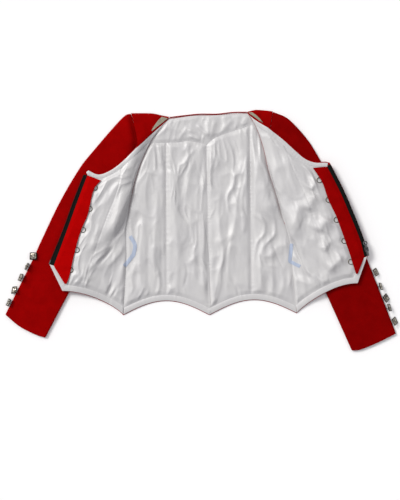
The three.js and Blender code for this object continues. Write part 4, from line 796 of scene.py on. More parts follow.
hem_path = {side: front_hem(side) for side in SIDES}
for side in SIDES:
    edge = lambda s, side=side: mix(zip_outer[side](s), zip_inner[side](s), TAPE_SEAM)
    flat = panel(hem_path[side], neck_path[side], edge, fold[side], columns=130, rows=150)
    turned = front_surface(side, flat, WOOL_THICKNESS)
    arm, flap_top = flap_edge(side), part(shoulder[side], 1, 0.01)
    over = lambda s, side=side: part(fold[side], UNDERARM + 0.04, 0.992)(s) - (SIGN[side] * 0.6, 0.6)
    flat = panel(straight(arm(0)[0], over(0)[0]), flap_top, arm, over, columns=40, rows=110)
    relief = ridges(flat, FLAP_CREASES[side])
    flap = raised(at_height(flat, flap_height(side, flat) + relief), WOOL_THICKNESS)
    piece = cloth(f"front_cloth_{side}", wool, (turned, WOOL_THICKNESS), (flap, WOOL_THICKNESS))
    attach(piece, "jacket")
    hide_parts(f"front_shell_{side}")

# ---------------------------------------------------------------- the fronts' linings
# Satin in two panels on either side of a seam. Over the fold it stands off the wool in a deep loose crease,
# and from there long folds run down to the hem.
PRINCESS = {
    "right": [
        (0, -249, -133), (0.2, -238, -86), (0.42, -219, -32), (0.62, -196, 31), (0.8, -175, 84),
        (1, -163, 149),
    ],
    "left": [
        (0, 272, -124), (0.14, 264, -84), (0.3, 255, -42), (0.46, 241, 10), (0.65, 220, 65), (0.86, 190, 133),
        (1, 172, 184),
    ],
}
FACING_EDGE = {
    "right": [
        (0, -282, -113), (0.06, -277, -100), (0.3, -265, -47), (0.5, -252, -2), (0.65, -238, 31),
        (0.9, -224, 86), (1, -207, 106),
    ],
    "left": [
        (0, 323, -92), (0.2, 308, -44), (0.4, 292, 1), (0.52, 282, 28), (0.7, 265, 64), (0.85, 253, 98),
        (1, 231, 133),
    ],
}
NECK_INSET = 2.2
NECK_BAND = 8.5
TAPE_UNDER = 3
FRONT_FOLDS = {
    "right": [
        (5.4, 9, 10, (-141, 104), (-165, 56), (-182, 14), (-193, -24)),
        (3.2, 7, 9, (-194, -20), (-206, -44), (-230, -76), (-248, -104)),
        (2.6, 6, 8, (-176, -26), (-168, -40), (-180, -58), (-206, -84)),
        (2.4, 7, 8, (-162, -60), (-170, -100), (-180, -140)),
        (2.0, 6, 7, (-196, -96), (-200, -120), (-212, -146)),
        (2.2, 8, 9, (-150, 120), (-176, 96), (-206, 40)),
        (1.8, 7, 8, (-170, 132), (-196, 96), (-214, 60)),
        (1.6, 6, 6, (-214, 20), (-222, -20), (-236, -50)),
        (-3.0, 5, 5, (-147, 96), (-155, 58), (-162, 20), (-182, -14), (-190, -30)),
        (-2.0, 5, 6, (-186, -34), (-200, -54), (-222, -80)),
    ],
    "left": [
        (3.4, 7, 9, (146, 150), (158, 104), (170, 60), (186, 14)),
        (3.6, 6, 9, (190, 6), (206, -30), (220, -70), (240, -112)),
        (2.6, 8, 9, (176, 166), (188, 110), (206, 60)),
        (2.2, 7, 8, (226, 40), (234, 0), (240, -40)),
        (2.6, 8, 9, (262, 10), (256, -30), (262, -80)),
        (2.0, 7, 7, (250, 60), (262, 30), (272, -6)),
        (2.0, 6, 7, (206, -60), (214, -100), (222, -140)),
        (1.8, 6, 6, (232, -90), (246, -104), (268, -108)),
        (7.4, 12, 15, (206, 66), (200, 36), (193, 0), (196, -30)),
        (7.0, 17, 14, (220, 36), (229, 58), (240, 78)),
        (7.2, 17, 13, (244, -8), (253, 10), (266, 28)),
        (4.6, 12, 9, (254, -48), (264, -30), (274, -16)),
        (7.2, 17, 12, (262, -88), (279, -70), (298, -52)),
        (5.0, 13, 9, (226, 80), (234, 93), (243, 106)),
        (-4.2, 2.6, 3.2, (176, 40), (184, 0), (196, -30), (212, -70), (234, -116)),
        (-1.6, 8, 8, (214, 30), (236, 20), (252, 24)),
        (-1.6, 9, 8, (262, -30), (276, -44), (296, -52)),
    ],
}
# The front's split rings: their middles. The buttons pull the lining flat there.
RINGS = {
    "right": [(-274, -84), (-261, -42), (-248, 0), (-234, 44), (-223, 88)],
    "left": [(313, -67), (299, -23), (283, 21), (266, 63), (247, 104)],
}
OVERHANG = 3.2  # how far the lining hangs over the fold's edge, above the underarm
ROLL = 3.2  # how far inside that edge it starts to roll
ROLL_DROP = 0.55
HANG_DROP = 1.9
HANG_FROM = 0.9
SLANT_SHARE = 0.16  # share of the lining's side that runs along the slant of the hem
front_lining = {}
facing_path = {side: curve(FACING_EDGE[side]) for side in SIDES}
zip_seam = {side: beside(zip_inner[side], SIGN[side] * (TAPE_UNDER + GAP)) for side in SIDES}
neck_corner = {side: next(row[0] for row in NECK[side] if len(row) > 3) for side in SIDES}


def inside_hem(side, distance):
    return mitred(hem_path[side], HEM_CORNER, -SIGN[side] * distance)


def inside_neck(side, distance):
    return mitred(neck_path[side], neck_corner[side], SIGN[side] * distance)


hem_seam = {side: inside_hem(side, HEM_INSET + HEM_BAND) for side in SIDES}
hem_tuck = {side: inside_hem(side, HEM_INSET + HEM_BAND - TUCK) for side in SIDES}
neck_seam = {side: inside_neck(side, NECK_INSET + NECK_BAND) for side in SIDES}
neck_tuck = {side: inside_neck(side, NECK_INSET + NECK_BAND - TUCK) for side in SIDES}
princess_line = {side: points_on(curve(PRINCESS[side]), 50) for side in SIDES}


def puff(side, flat):
    """The lining stands off the cloth where it turns over the fold."""
    away = distance_to(flat, fold_line[side])[0]
    return 0.8 * smooth(away / 2) * smooth((32 - away) / 8)


def front_relief(side, flat):
    edges = [points_on(path[side], 60) for path in (hem_seam, neck_seam, zip_seam)]
    near, heading = distance_to_any(flat, edges), 90 + SIGN[side] * 24
    height = 1.2 + 0.9 * ridges(flat, FRONT_FOLDS[side])
    height += 1.25 * loose_folds(flat, seed=40 + 10 * SIGN[side], heading=heading)
    height += ripples(
        flat, seed=50 + SIGN[side], count=45, height=0.4, width=3.2, length=18, heading=heading, spread=40,
    )
    height *= smooth((near + 1.5) / 12) * smooth((distance_to(flat, fold_line[side])[0] + 1) / 8)
    from_facing, on_side, _ = distance_to(flat, points_on(facing_path[side], 50))
    height *= np.where(on_side * SIGN[side] < 0, 0.1, 0.1 + 0.9 * smooth(from_facing / 9))
    for ring in RINGS[side]:
        height *= smooth((np.linalg.norm(flat - ring, axis=2) - 2) / 12)
    height += puckers(flat, edges[0], seed=60, height=0.3, pitch=8, reach=8)
    height += puckers(flat, edges[1], seed=61, height=0.4, pitch=8, reach=10)
    height += puckers(flat, princess_line[side], seed=62, height=0.3, pitch=8, reach=7)
    return height + groove(flat, princess_line[side], depth=0.5, width=1.7)


def rolled(side, flat):
    """How much lower the lining lies where it rolls over the edge of the fold, above the underarm."""
    away, on_side, _ = distance_to(flat, fold_line[side])
    inside = -away * on_side * SIGN[side]
    near = np.clip(inside / ROLL, 0, 1)
    over = HANG_DROP * smooth((-inside - HANG_FROM) / (OVERHANG - HANG_FROM))
    rolling = ROLL_DROP * (1 - np.sqrt(1 - (1 - near) ** 2))
    return (rolling + over) * smooth((flat[..., 1] - 10) / 30)


def lining_fold_edge(side):
    """At the side seam it meets the back's lining; above, it turns down over the edge of the wool."""

    def path(s):
        at = fold[side](s)
        return at + sideways(mix(GAP, -OVERHANG, smooth((at[:, 1] - 5) / 25)) * SIGN[side])

    return path


def lining_surface(side, flat):
    lift = LINING_TOP + puff(side, flat) + front_relief(side, flat) - rolled(side, flat)
    lift -= tucked(flat, points_on(hem_seam[side], 90), SIGN[side])
    lift -= tucked(flat, points_on(neck_seam[side], 90), -SIGN[side])
    return front_surface(side, flat, lift)


for side in SIDES:
    slant = part(hem_tuck[side], HEM_CORNER, -0.1)
    slant_end, zip_start = crossing(slant, zip_seam[side])
    hem_end, fold_start = crossing(hem_tuck[side], beside_fold(side, GAP))
    neck_end, fold_end = crossing(neck_tuck[side], beside_fold(side, GAP))
    neck_start = nearest_share(neck_tuck[side], zip_seam[side](1)[0])

    def zip_side(s, side=side):
        s = shares(s)
        low = slant(slant_end * np.clip(s / SLANT_SHARE, 0, 1))
        high = zip_seam[side](mix(zip_start, 1, np.clip((s - SLANT_SHARE) / (1 - SLANT_SHARE), 0, 1)))
        return np.where((s < SLANT_SHARE)[:, None], low, high)

    bottom, top = part(hem_tuck[side], HEM_CORNER, hem_end), part(neck_tuck[side], neck_start, neck_end)
    fold_side = part(lining_fold_edge(side), fold_start, fold_end)
    flat = panel(bottom, top, zip_side, fold_side, columns=110, rows=150)
    piece = cloth(f"front_lining_{side}", white_satin, (lining_surface(side, flat), SATIN_THICKNESS))
    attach(piece, "jacket")
    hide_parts(f"centre_front_lining_{side}", f"side_front_lining_{side}")
    front_lining[side] = piece

# ---------------------------------------------------------------- the fronts' satin bands
# The hem band runs on round the front corner to the foot of the zip, and a narrower one follows the neck edge
# to its point. Each is sewn just inside the red edge and stitched down along its other side.
BAND_STITCH = 3.2  # length of a stitch and the space after it
STITCH_IN = 1.1  # how far in from the band's edge
STITCH_LONG = 0.0023  # in metres, as its piece is made once and then repeated
STITCH_THICK = 0.00032


def row_of_pieces():
    """A Geometry Nodes tree: one piece, repeated at a pitch along a path."""
    tree = bpy.data.node_groups.new("row of pieces", "GeometryNodeTree")
    sockets = (("Path", "Geometry"), ("Pitch", "Float"), ("Piece", "Object"), ("Finish", "Material"))
    for name, kind in sockets:
        tree.interface.new_socket(name, in_out="INPUT", socket_type=f"NodeSocket{kind}")
    tree.interface.new_socket("Row", in_out="OUTPUT", socket_type="NodeSocketGeometry")
    given = tree.nodes.new("NodeGroupInput").outputs
    line = add_node(tree, "GeometryNodeMeshToCurve", {"Mesh": given["Path"]}).outputs[0]
    spacing = {"Curve": line, "Length": given["Pitch"]}
    spaced = add_node(tree, "GeometryNodeResampleCurve", spacing, mode="LENGTH").outputs[0]
    tangent = add_node(tree, "GeometryNodeInputTangent").outputs[0]
    turned = add_node(tree, "FunctionNodeAlignRotationToVector", {"Vector": tangent}, axis="X").outputs[0]
    piece = add_node(tree, "GeometryNodeObjectInfo", {"Object": given["Piece"]}).outputs["Geometry"]
    placed = {"Points": spaced, "Instance": piece, "Rotation": turned}
    row = add_node(tree, "GeometryNodeInstanceOnPoints", placed).outputs[0]
    real = add_node(tree, "GeometryNodeRealizeInstances", {"Geometry": row}).outputs[0]
    finish = {"Geometry": real, "Material": given["Finish"]}
    finished = add_node(tree, "GeometryNodeSetMaterial", finish).outputs[0]
    tree.links.new(finished, tree.nodes.new("NodeGroupOutput").inputs[0])
    return tree


row_tree = row_of_pieces()


def repeated(name, lines, pitch, piece, material):
    """Pieces in rows along lines of points (in the tables' millimetres), as one plain mesh."""
    points = np.concatenate(lines)
    first = np.cumsum([0] + [len(line) for line in lines[:-1]])
    edges = [(a + k, a + k + 1) for a, line in zip(first, lines) for k in range(len(line) - 1)]
    path = bpy.data.meshes.new(f"{name} path")
    path.from_pydata(((points + TABLE_ORIGIN) / 1000).tolist(), edges, [])
    holder = bpy.data.objects.new(f"{name} path", path)
    bpy.context.collection.objects.link(holder)
    modifier = holder.modifiers.new("row", "NODES")
    modifier.node_group = row_tree
    inputs = {item.name: item.identifier for item in row_tree.interface.items_tree if item.in_out == "INPUT"}
    modifier[inputs["Pitch"]] = pitch / 1000
    modifier[inputs["Piece"]] = piece
    modifier[inputs["Finish"]] = material
    graph = bpy.context.evaluated_depsgraph_get()
    mesh = bpy.data.meshes.new_from_object(holder.evaluated_get(graph))
    bpy.data.objects.remove(holder)
    made = bpy.data.objects.new(name, mesh)
    mesh.name = name
    bpy.context.collection.objects.link(made)
    return made


def small_bar(name, length, width, height, arch=0.0):
    """A little bar along X with narrowed ends, as one stitch or one tooth."""
    xs, corners, points, faces = (-0.5, -0.3, 0.3, 0.5), ((-1, -1), (1, -1), (1, 1), (-1, 1)), [], []
    for x in xs:
        end = abs(x) == 0.5
        w, h, lift = (0.55 * width, 0.55 * height, -arch) if end else (width, height, 0)
        points += [(x * length, y * w / 2, z * h / 2 + lift) for y, z in corners]
    for k in range(len(xs) - 1):
        a = 4 * k
        faces += [(a + j, a + (j + 1) % 4, a + 4 + (j + 1) % 4, a + 4 + j) for j in range(4)]
    faces += [(3, 2, 1, 0), (12, 13, 14, 15)]
    mesh = bpy.data.meshes.new(name)
    mesh.from_pydata(points, [], [face[::-1] for face in faces])
    mesh.shade_smooth()
    return bpy.data.objects.new(name, mesh)


stitch = small_bar("stitch", STITCH_LONG, STITCH_THICK, STITCH_THICK, 0.0002)
white_thread = satin("white sewing thread", (0.82, 0.81, 0.82, 1), (0.72, 0.71, 0.73, 1), 0.55)


def surface_below(pieces):
    """z of the highest of these pieces at each point, in the tables' millimetres."""
    trees = []
    for piece in pieces:
        mesh = piece.data
        trees.append(BVHTree.FromPolygons([v.co for v in mesh.vertices], [p.vertices for p in mesh.polygons]))

    def height(flat):
        found = []
        for x, y in flat.reshape(-1, 2):
            start = Vector(((x + TABLE_ORIGIN[0]) / 1000, (y + TABLE_ORIGIN[1]) / 1000, 0.05))
            hits = [tree.ray_cast(start, Vector((0, 0, -1)))[0] for tree in trees]
            found.append(max([hit.z * 1000 for hit in hits if hit] or [LINING_TOP]))
        return np.array(found).reshape(flat.shape[:-1])

    return height


def stitches(name, material, slot, *rows):
    """Rows of stitches: each row is the piece it is sewn on, a path and the number of points along it."""
    lines = []
    for piece, path, count in rows:
        flat = path(np.linspace(0.005, 0.995, count))[None]
        lines.append(at_height(flat, surface_below([piece])(flat) + 0.05)[0])
    made = repeated(name, lines, BAND_STITCH, stitch, material)
    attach(made, "jacket")


def along_hem(path, start, side):
    end = crossing(path, beside_fold(side, GAP))[0]

    def moved(s):
        s = shares(s)
        slant, rest = mix(start, HEM_CORNER, s / 0.25), mix(HEM_CORNER, end, (s - 0.25) / 0.75)
        return path(np.where(s < 0.25, slant, rest))

    return moved


def front_band(name, side, edge, seam, columns, rows, ripple):
    flat = panel(edge, seam, *ends(edge, seam), columns, rows)
    lift = LINING_TOP + puff(side, flat) + (band_rise(rows) + ripple(flat))
    return cloth(name, white_satin, (front_surface(side, flat, lift), SATIN_THICKNESS))


for side in SIDES:
    edge = along_hem(inside_hem(side, HEM_INSET), 0.008, side)
    seam, seam_line = along_hem(hem_seam[side], 0.06, side), points_on(hem_seam[side], 60)
    ripple = lambda flat, line=seam_line: puckers(flat, line, seed=60, height=0.25, pitch=8, reach=8)
    hem_band = front_band(f"hem_band_satin_{side}", side, edge, seam, 180, BAND_ROWS, ripple)
    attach(hem_band, "jacket")
    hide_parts(f"hem_band_front_{side}")

    edge = part(inside_neck(side, NECK_INSET), 0.02, 0.96)
    seam = part(neck_seam[side], 0.02, crossing(neck_seam[side], beside_fold(side, GAP))[0])
    seam_line = points_on(neck_seam[side], 60)
    ripple = lambda flat, line=seam_line: puckers(flat, line, seed=61, height=0.3, pitch=8, reach=9)
    columns = np.concatenate([np.linspace(0, 0.14, 24), np.linspace(0.14, 1, 140)[1:]])
    neck_band = front_band(f"neck_band_satin_{side}", side, edge, seam, columns, 8, ripple)
    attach(neck_band, "jacket")
    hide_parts(f"neck_band_{side}")

    hem_row = along_hem(inside_hem(side, HEM_INSET + HEM_BAND - STITCH_IN), 0.1, side)
    neck_row = inside_neck(side, NECK_INSET + NECK_BAND - STITCH_IN)
    neck_row = part(neck_row, 0.04, crossing(neck_row, beside_fold(side, GAP))[0])
    stitches(
        f"band_stitches_{side}", white_thread, "satin", (hem_band, hem_row, 90), (neck_band, neck_row, 110),
    )

stitches(
    "back_stitches", white_thread, "satin",
    (hem_band_back, between_folds(beside(back_hem, HEM_INSET + HEM_BAND - STITCH_IN)), 260),
    (neck_facing, lambda s: facing_seam(mix(0.01, 0.99, shares(s))) + (0, STITCH_IN), 120),
)

# ---------------------------------------------------------------- the zip, in two halves
# A separating zip: black ribbed tape with moulded teeth along its edge. The box and the slider are on the
# wearer's left half and the pin is on the right one.
TEETH = 2.6
TAPE_LIFT = 2.2  # the tape's middle above the front's underside
TAPE_THICKNESS = 0.9
TAPE_COLUMNS = 9
TEETH_FROM = {"right": 0.045, "left": 0.105}
ZIP_TO = 0.98
TAPE_TO = 0.995
TOOTH = (0.00105, 0.0031, 0.0022)  # its length, width and height in metres
TOOTH_PITCH = 2.1
TAPE_BLACK = (0.001, 0.002, 0.0015, 1)
TAPE_GREY = (0.0025, 0.005, 0.0035, 1)

zip_tape = woven(
    "black zip tape", TAPE_GREY, TAPE_BLACK, roughness=0.7, threads=1100, depth=0.00022, mottle=0.2, size=90,
    Specular_IOR_Level=0.12,
)


def tarnish_group():
    """Dull patches and a fine grain on metal: a tarnish mask and a height."""
    tree = bpy.data.node_groups.new("tarnished metal", "ShaderNodeTree")
    for name, value in (("Patch size", 300.0), ("Amount", 0.5)):
        tree.interface.new_socket(name, in_out="INPUT", socket_type="NodeSocketFloat").default_value = value
    for name in ("Tarnish", "Height"):
        tree.interface.new_socket(name, in_out="OUTPUT", socket_type="NodeSocketFloat")
    given = tree.nodes.new("NodeGroupInput").outputs
    spot = add_node(tree, "ShaderNodeTexCoord").outputs["Object"]
    patches = {"Vector": spot, "Scale": given["Patch size"], "Detail": 5.0}
    patch = add_node(tree, "ShaderNodeTexNoise", patches).outputs["Fac"]
    grains = {"Vector": spot, "Scale": 2400.0, "Detail": 2.0}
    grain = add_node(tree, "ShaderNodeTexNoise", grains).outputs["Fac"]
    spread = {"Value": patch, "From Min": 0.36, "From Max": 0.64}
    spread = add_node(tree, "ShaderNodeMapRange", spread).outputs["Result"]
    amount = add_node(tree, "ShaderNodeMath", {0: spread, 1: given["Amount"]}, operation="MULTIPLY")
    out = tree.nodes.new("NodeGroupOutput")
    tree.links.new(amount.outputs[0], out.inputs["Tarnish"])
    tree.links.new(grain, out.inputs["Height"])
    return tree


tarnished_metal = tarnish_group()


def metal(name, bright, dark, roughness, amount):
    """A metal's material: bright and smooth, or dark and rough where it is tarnished."""
    values = {"Patch size": 300.0, "Amount": amount}
    return patterned(
        name, tarnished_metal, values, "Tarnish", (bright, dark), roughness, depth=0.00003, strength=0.6,
        sockets={"Metallic": 1.0},
    )


gunmetal = metal(
    "blackened zip metal", (0.16, 0.16, 0.165, 1), (0.03, 0.03, 0.032, 1), roughness=(0.3, 0.5), amount=0.8,
)
moulded_black = woven(
    "black moulded teeth", (0.006, 0.007, 0.006, 1), (0.003, 0.004, 0.003, 1), roughness=0.55, threads=3000,
    depth=0.00001, mottle=0.2, Specular_IOR_Level=0.15,
)
tooth = small_bar("tooth", *TOOTH)

for side in SIDES:
    sign = SIGN[side]
    outer, inner = beside(zip_outer[side], sign * 0.45 * TEETH), beside(zip_inner[side], sign * TAPE_UNDER)
    a, b = part(outer, 0, TAPE_TO), part(inner, 0, TAPE_TO)
    flat = panel(*ends(a, b), a, b, columns=TAPE_COLUMNS, rows=110)
    bead = 0.35 * np.exp(-((np.linspace(0, 1, TAPE_COLUMNS) / 0.12) ** 2))[None, :]
    tape_top = front_surface(side, flat, TAPE_LIFT + TAPE_THICKNESS / 2 + bead)
    tape = cloth(f"tape_{side}", zip_tape, (tape_top, TAPE_THICKNESS))
    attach(tape, "jacket")
    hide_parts(f"zip_tape_{side}")

    row = part(beside(zip_outer[side], sign * TEETH / 2), TEETH_FROM[side], ZIP_TO)
    flat = points_on(row, 80)[None]
    middle = at_height(flat, front_height(side, flat) + TAPE_LIFT)[0]
    teeth = repeated(f"teeth_{side}", [middle], TOOTH_PITCH, tooth, moulded_black)
    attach(teeth, "jacket")
    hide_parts(f"zip_teeth_{side}")

for name in ("zip_box", "zip_pin", "zip_slider", "zip_pull_tab"):
    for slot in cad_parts[name].material_slots:
        slot.material = gunmetal

# ---------------------------------------------------------------- the red facings
# A wool facing inside each front, from the zip to a free edge that stands over the split rings. Its lower
# corner is cut to a point above the hem band.
FACING_THICKNESS = 1.2
FACING_TOP = 4.2
FACING_RISE = 2.0
TAPE_WIDTH = 9.5  # beyond the zip's tape it rises to its full height
# Painted light and shade: the wearer's right facing's red is made lighter and the left one's darker, as if
# one is lit and the other shaded.
FACING_PAINTED_LIGHT_AND_SHADE = {"right": 1.45, "left": 0.92}
FOOT_SHARE = 0.1  # share of its inner side that is the slanting foot


def facing_inside(side):
    tip, foot = facing_path[side](0)[0], zip_inner[side](0)[0]

    def path(s):
        s = shares(s)
        low = straight(tip + (SIGN[side] * 4, 0), foot)(np.clip(s / FOOT_SHARE, 0, 1))
        high = zip_inner[side](np.clip((s - FOOT_SHARE) / (1 - FOOT_SHARE), 0, 1) * 0.99)
        return np.where((s < FOOT_SHARE)[:, None], low, high)

    return path


for side in SIDES:
    inside, free = facing_inside(side), part(facing_path[side], 0, 0.985)
    rows = np.concatenate([np.linspace(0, FOOT_SHARE, 12), np.linspace(FOOT_SHARE, 1, 110)[1:]])
    flat = panel(*ends(inside, free), inside, free, columns=16, rows=rows)
    away = distance_to(flat, points_on(zip_outer[side], 21))[0] - TAPE_WIDTH
    to_free, _, along = distance_to(flat, points_on(free, 50))
    wave = 0.45 * np.sin(along / 41 * 2 * math.pi + 1) + 0.3 * np.sin(along / 17 * 2 * math.pi)
    lift = FACING_TOP + FACING_RISE * smooth(away / 9) + wave * np.exp(-((to_free / 9) ** 2))
    lift += ripples(flat, seed=70, count=26, height=0.35, width=6, length=20, heading=70, spread=30)
    # each facing's red made lighter or darker by side: painted light and shade
    facing_wool = red_wool(f"red facing wool {side}", FACING_PAINTED_LIGHT_AND_SHADE[side])
    piece = cloth(f"facing_cloth_{side}", facing_wool, (front_surface(side, flat, lift), FACING_THICKNESS))
    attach(piece, "jacket")
    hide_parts(f"facing_{side}")

# ---------------------------------------------------------------- the buttons and their split rings
# Stamped silver-plated buttons: a square plate with a beaded rim under a low pyramid. Those of the front are
# held inside by a split ring through the shank; those of the cuffs hang on thread.
BUTTON_HALF = 7.75
BEADS = 9  # along each side of the rim
SIDE_STEPS = 18  # points along each side
AROUND = 4 * SIDE_STEPS
RING_RADIUS = 5.4
RING_WIRE = 0.72
silver = metal(
    "tarnished silver plate", (0.58, 0.54, 0.46, 1), (0.03, 0.022, 0.015, 1), roughness=(0.18, 0.5), amount=1,
)
blackened = metal(
    "blackened silver rim", (0.04, 0.028, 0.018, 1), (0.006, 0.005, 0.004, 1), roughness=(0.35, 0.6),
    amount=1,
)
DARK_RINGS = (0, 1, 2, 3, 4, 5, 6, 7, 9)  # the button's underside, rim and channels
ring_steel = metal(
    "darkened ring wire", (0.22, 0.19, 0.13, 1), (0.012, 0.010, 0.006, 1), roughness=(0.2, 0.45), amount=1,
)


def button_points():
    """Square rings of points from the back to the peak: half size, z and how much the beads stand up."""
    rings = [
        (5.2, 0.25, 0), (7.4, 0.0, 0), (BUTTON_HALF, 0.3, 0), (BUTTON_HALF, 0.8, 0), (7.4, 1.15, 0.2),
        (7.0, 1.25, 0.3), (6.6, 1.1, 0.15), (6.3, 0.95, 0), (5.9, 1.25, 0), (4.0, 2.15, 0), (3.8, 2.1, 0),
        (1.2, 3.4, 0), (0.3, 3.85, 0),
    ]
    steps, edge = np.linspace(-1, 1, SIDE_STEPS + 1)[:-1], np.ones(SIDE_STEPS)
    sides = ((steps, -edge), (edge, steps), (-steps, edge), (-edge, -steps))
    square = np.concatenate([np.stack(xy, 1) for xy in sides])
    square /= np.maximum(1, np.linalg.norm(square, axis=1, keepdims=True) / 1.36)
    beads = 0.5 - 0.5 * np.cos(np.arange(AROUND) * 2 * math.pi / SIDE_STEPS * BEADS)
    points = np.concatenate([np.column_stack([square * half, z + stand * beads]) for half, z, stand in rings])
    index = np.arange(AROUND * len(rings)).reshape(len(rings), AROUND)
    ahead = np.roll(index, -1, 1)
    faces = np.stack([index[:-1], ahead[:-1], ahead[1:], index[1:]], -1).reshape(-1, 4).tolist()
    return points, [*faces, index[0, ::-1].tolist(), index[-1].tolist()]


def tube(line, radius, sides=8):
    """Points and faces of a round bar along a line of points."""
    line = np.asarray(line, float)
    tangent = np.gradient(line, axis=0)
    tangent /= np.linalg.norm(tangent, axis=1, keepdims=True)
    across = np.cross(tangent, (0, 0, 1.0))
    lying = np.linalg.norm(across, axis=1, keepdims=True)
    across = np.where(lying > 1e-3, across / np.maximum(lying, 1e-9), (1.0, 0, 0))
    up = np.cross(across, tangent)
    angle = np.arange(sides) * 2 * math.pi / sides
    ring = np.cos(angle)[None, :, None] * across[:, None] + np.sin(angle)[None, :, None] * up[:, None]
    index = np.arange(len(line) * sides).reshape(len(line), sides)
    ahead = np.roll(index, -1, 1)
    faces = np.stack([index[:-1], index[1:], ahead[1:], ahead[:-1]], -1).reshape(-1, 4).tolist()
    caps = [index[0].tolist(), index[-1, ::-1].tolist()]
    return (line[:, None] + radius * ring).reshape(-1, 3), faces + caps


def merged(*parts):
    points, faces = [], []
    for made, quads in parts:
        first = sum(len(p) for p in points)
        points.append(np.asarray(made, float))
        faces += [[first + k for k in face] for face in quads]
    return np.concatenate(points), faces


def turn_matrix(axis, angle):
    """The matrix of a turn about an axis through the origin."""
    x, y, z = axis
    c, s = math.cos(angle), math.sin(angle)
    return np.array([
        [c + x * x * (1 - c), x * y * (1 - c) - z * s, x * z * (1 - c) + y * s],
        [y * x * (1 - c) + z * s, c + y * y * (1 - c), y * z * (1 - c) - x * s],
        [z * x * (1 - c) - y * s, z * y * (1 - c) + x * s, c + z * z * (1 - c)],
    ])


for side in SIDES:
    run = np.diff(facing_path[side]([0.2, 0.8]), axis=0)[0]
    run /= np.linalg.norm(run)
    to_zip = SIGN[side] * np.array([run[1], -run[0]])
    for k, centre in enumerate(RINGS[side]):
        shank = np.array(centre) + to_zip * RING_RADIUS
        square = shank + np.array([(0, 0), (-1, -1), (-1, 1), (1, -1), (1, 1)]) * BUTTON_HALF
        low = front_height(side, square[None]).min() - 2 * GAP
        ring_z = front_height(side, np.array(centre, float)[None, None])[0, 0] + 3.7
        face, quads = button_points()
        face = face * (1, -1, -1) + (*shank, low)
        turns = np.linspace(0.1, 3.9, 60) * math.pi
        coil = np.stack([
            centre[0] + RING_RADIUS * np.cos(turns + k), centre[1] + RING_RADIUS * np.sin(turns + k),
            ring_z - 0.1 + 0.5 * smooth((turns / math.pi - 1.4) / 1.2),
        ], 1)
        stem = np.array([(*shank, low - 0.5), (*shank, low + 3), (*shank, ring_z + 0.6)])
        parts = merged((face, quads), tube(coil, RING_WIRE), tube(stem, 1.0, 10))
        button = plane_mesh(f"front_button_and_ring_{side}_{k + 1}", *parts)
        for finish in (silver, ring_steel):
            button.data.materials.append(finish)
        for polygon in button.data.polygons[len(quads):]:
            polygon.material_index = 1
        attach(button, "jacket")
        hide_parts(f"front_button_{side}_{k + 1}")

# ---------------------------------------------------------------- the sleeves
# Each is cut in two pieces, a top and an under sleeve, which meet at both edges of the flattened sleeve.
# The head stands a little fuller where it is eased into the armhole; the cuff is turned in and left open.
SLEEVE_THICKNESS = 1.2
# Painted shade: the wearer's left sleeve's red is made darker, as if shaded.
SLEEVE_PAINTED_SHADE = {"right": 1.0, "left": 0.72}
SLEEVE_OUTER = {
    "right": [
        (0, -413, -178), (0.27, -356, -63), (0.37, -337, -21), (0.56, -297, 62), (0.72, -255, 133),
        (0.81, -227, 168), (0.94, -182, 220), (0.98, -160, 242), (1, -149, 245),
    ],
    "left": [
        (0, 410, -218), (0.32, 351, -66), (0.48, 316, 17), (0.64, 281, 94), (0.75, 252, 145),
        (0.8, 238, 169), (0.85, 225, 189), (0.92, 201, 217), (0.96, 179, 237), (1, 151, 249),
    ],
}
SLEEVE_INNER = {
    "right": [(0, -329, -227), (0.36, -278, -130), (0.58, -245, -72), (0.8, -206, -20), (1, -160, 26)],
    "left": [(0, 317, -254), (0.42, 262, -131), (0.67, 228, -60), (0.85, 200, -12), (1, 176, 22)],
}
CUFF = {
    "right": [(0, -413, -178), (0.35, -383, -203), (0.7, -350, -220), (1, -329, -227)],
    "left": [(0, 410, -218), (0.4, 374, -236), (0.8, 335, -252), (1, 317, -254)],
}
SLEEVE_HEIGHT = [(0, 6.2), (0.75, 6.3), (0.86, 6.8), (0.95, 8.6), (1, 6.7)]
UNDERARM_HEIGHT = 2.75
SLEEVE_FLOOR = 2.8  # no crease sinks the top sleeve below this
SLEEVE_CREASES = {
    "right": [
        (-7.0, 4, 6, (-152, 256), (-139, 214), (-133.5, 188), (-138, 166), (-152, 146)),
        (2.6, 6, 14, (-158, 236), (-149, 200), (-150, 166)),
        (1.0, 12, 12, (-186, 206), (-176, 176), (-170, 146)),
        (1.2, 16, 14, (-214, 172), (-210, 130), (-226, 90)),
        (-1.0, 12, 12, (-192, 190), (-186, 150), (-196, 110)),
        (0.9, 18, 14, (-270, 60), (-300, 0), (-330, -60)),
        (-0.8, 14, 14, (-330, -40), (-350, -90), (-380, -150)),
        (0.8, 14, 16, (-300, -80), (-330, -130), (-356, -180)),
    ],
    "left": [
        (-2.6, 12, 9, (152, 222), (166, 214), (184, 200), (204, 188)),
        (1.4, 12, 14, (160, 244), (190, 226), (214, 196)),
        (1.2, 12, 12, (176, 200), (200, 180), (222, 154)),
        (-1.0, 10, 12, (168, 216), (164, 200), (168, 180)),
        (0.9, 16, 16, (300, 20), (326, -40), (350, -100)),
        (-0.8, 14, 14, (330, -60), (346, -120), (366, -190)),
        (0.8, 14, 14, (270, -110), (300, -170), (326, -230)),
    ],
}
outer_edge = {side: curve(SLEEVE_OUTER[side]) for side in SIDES}


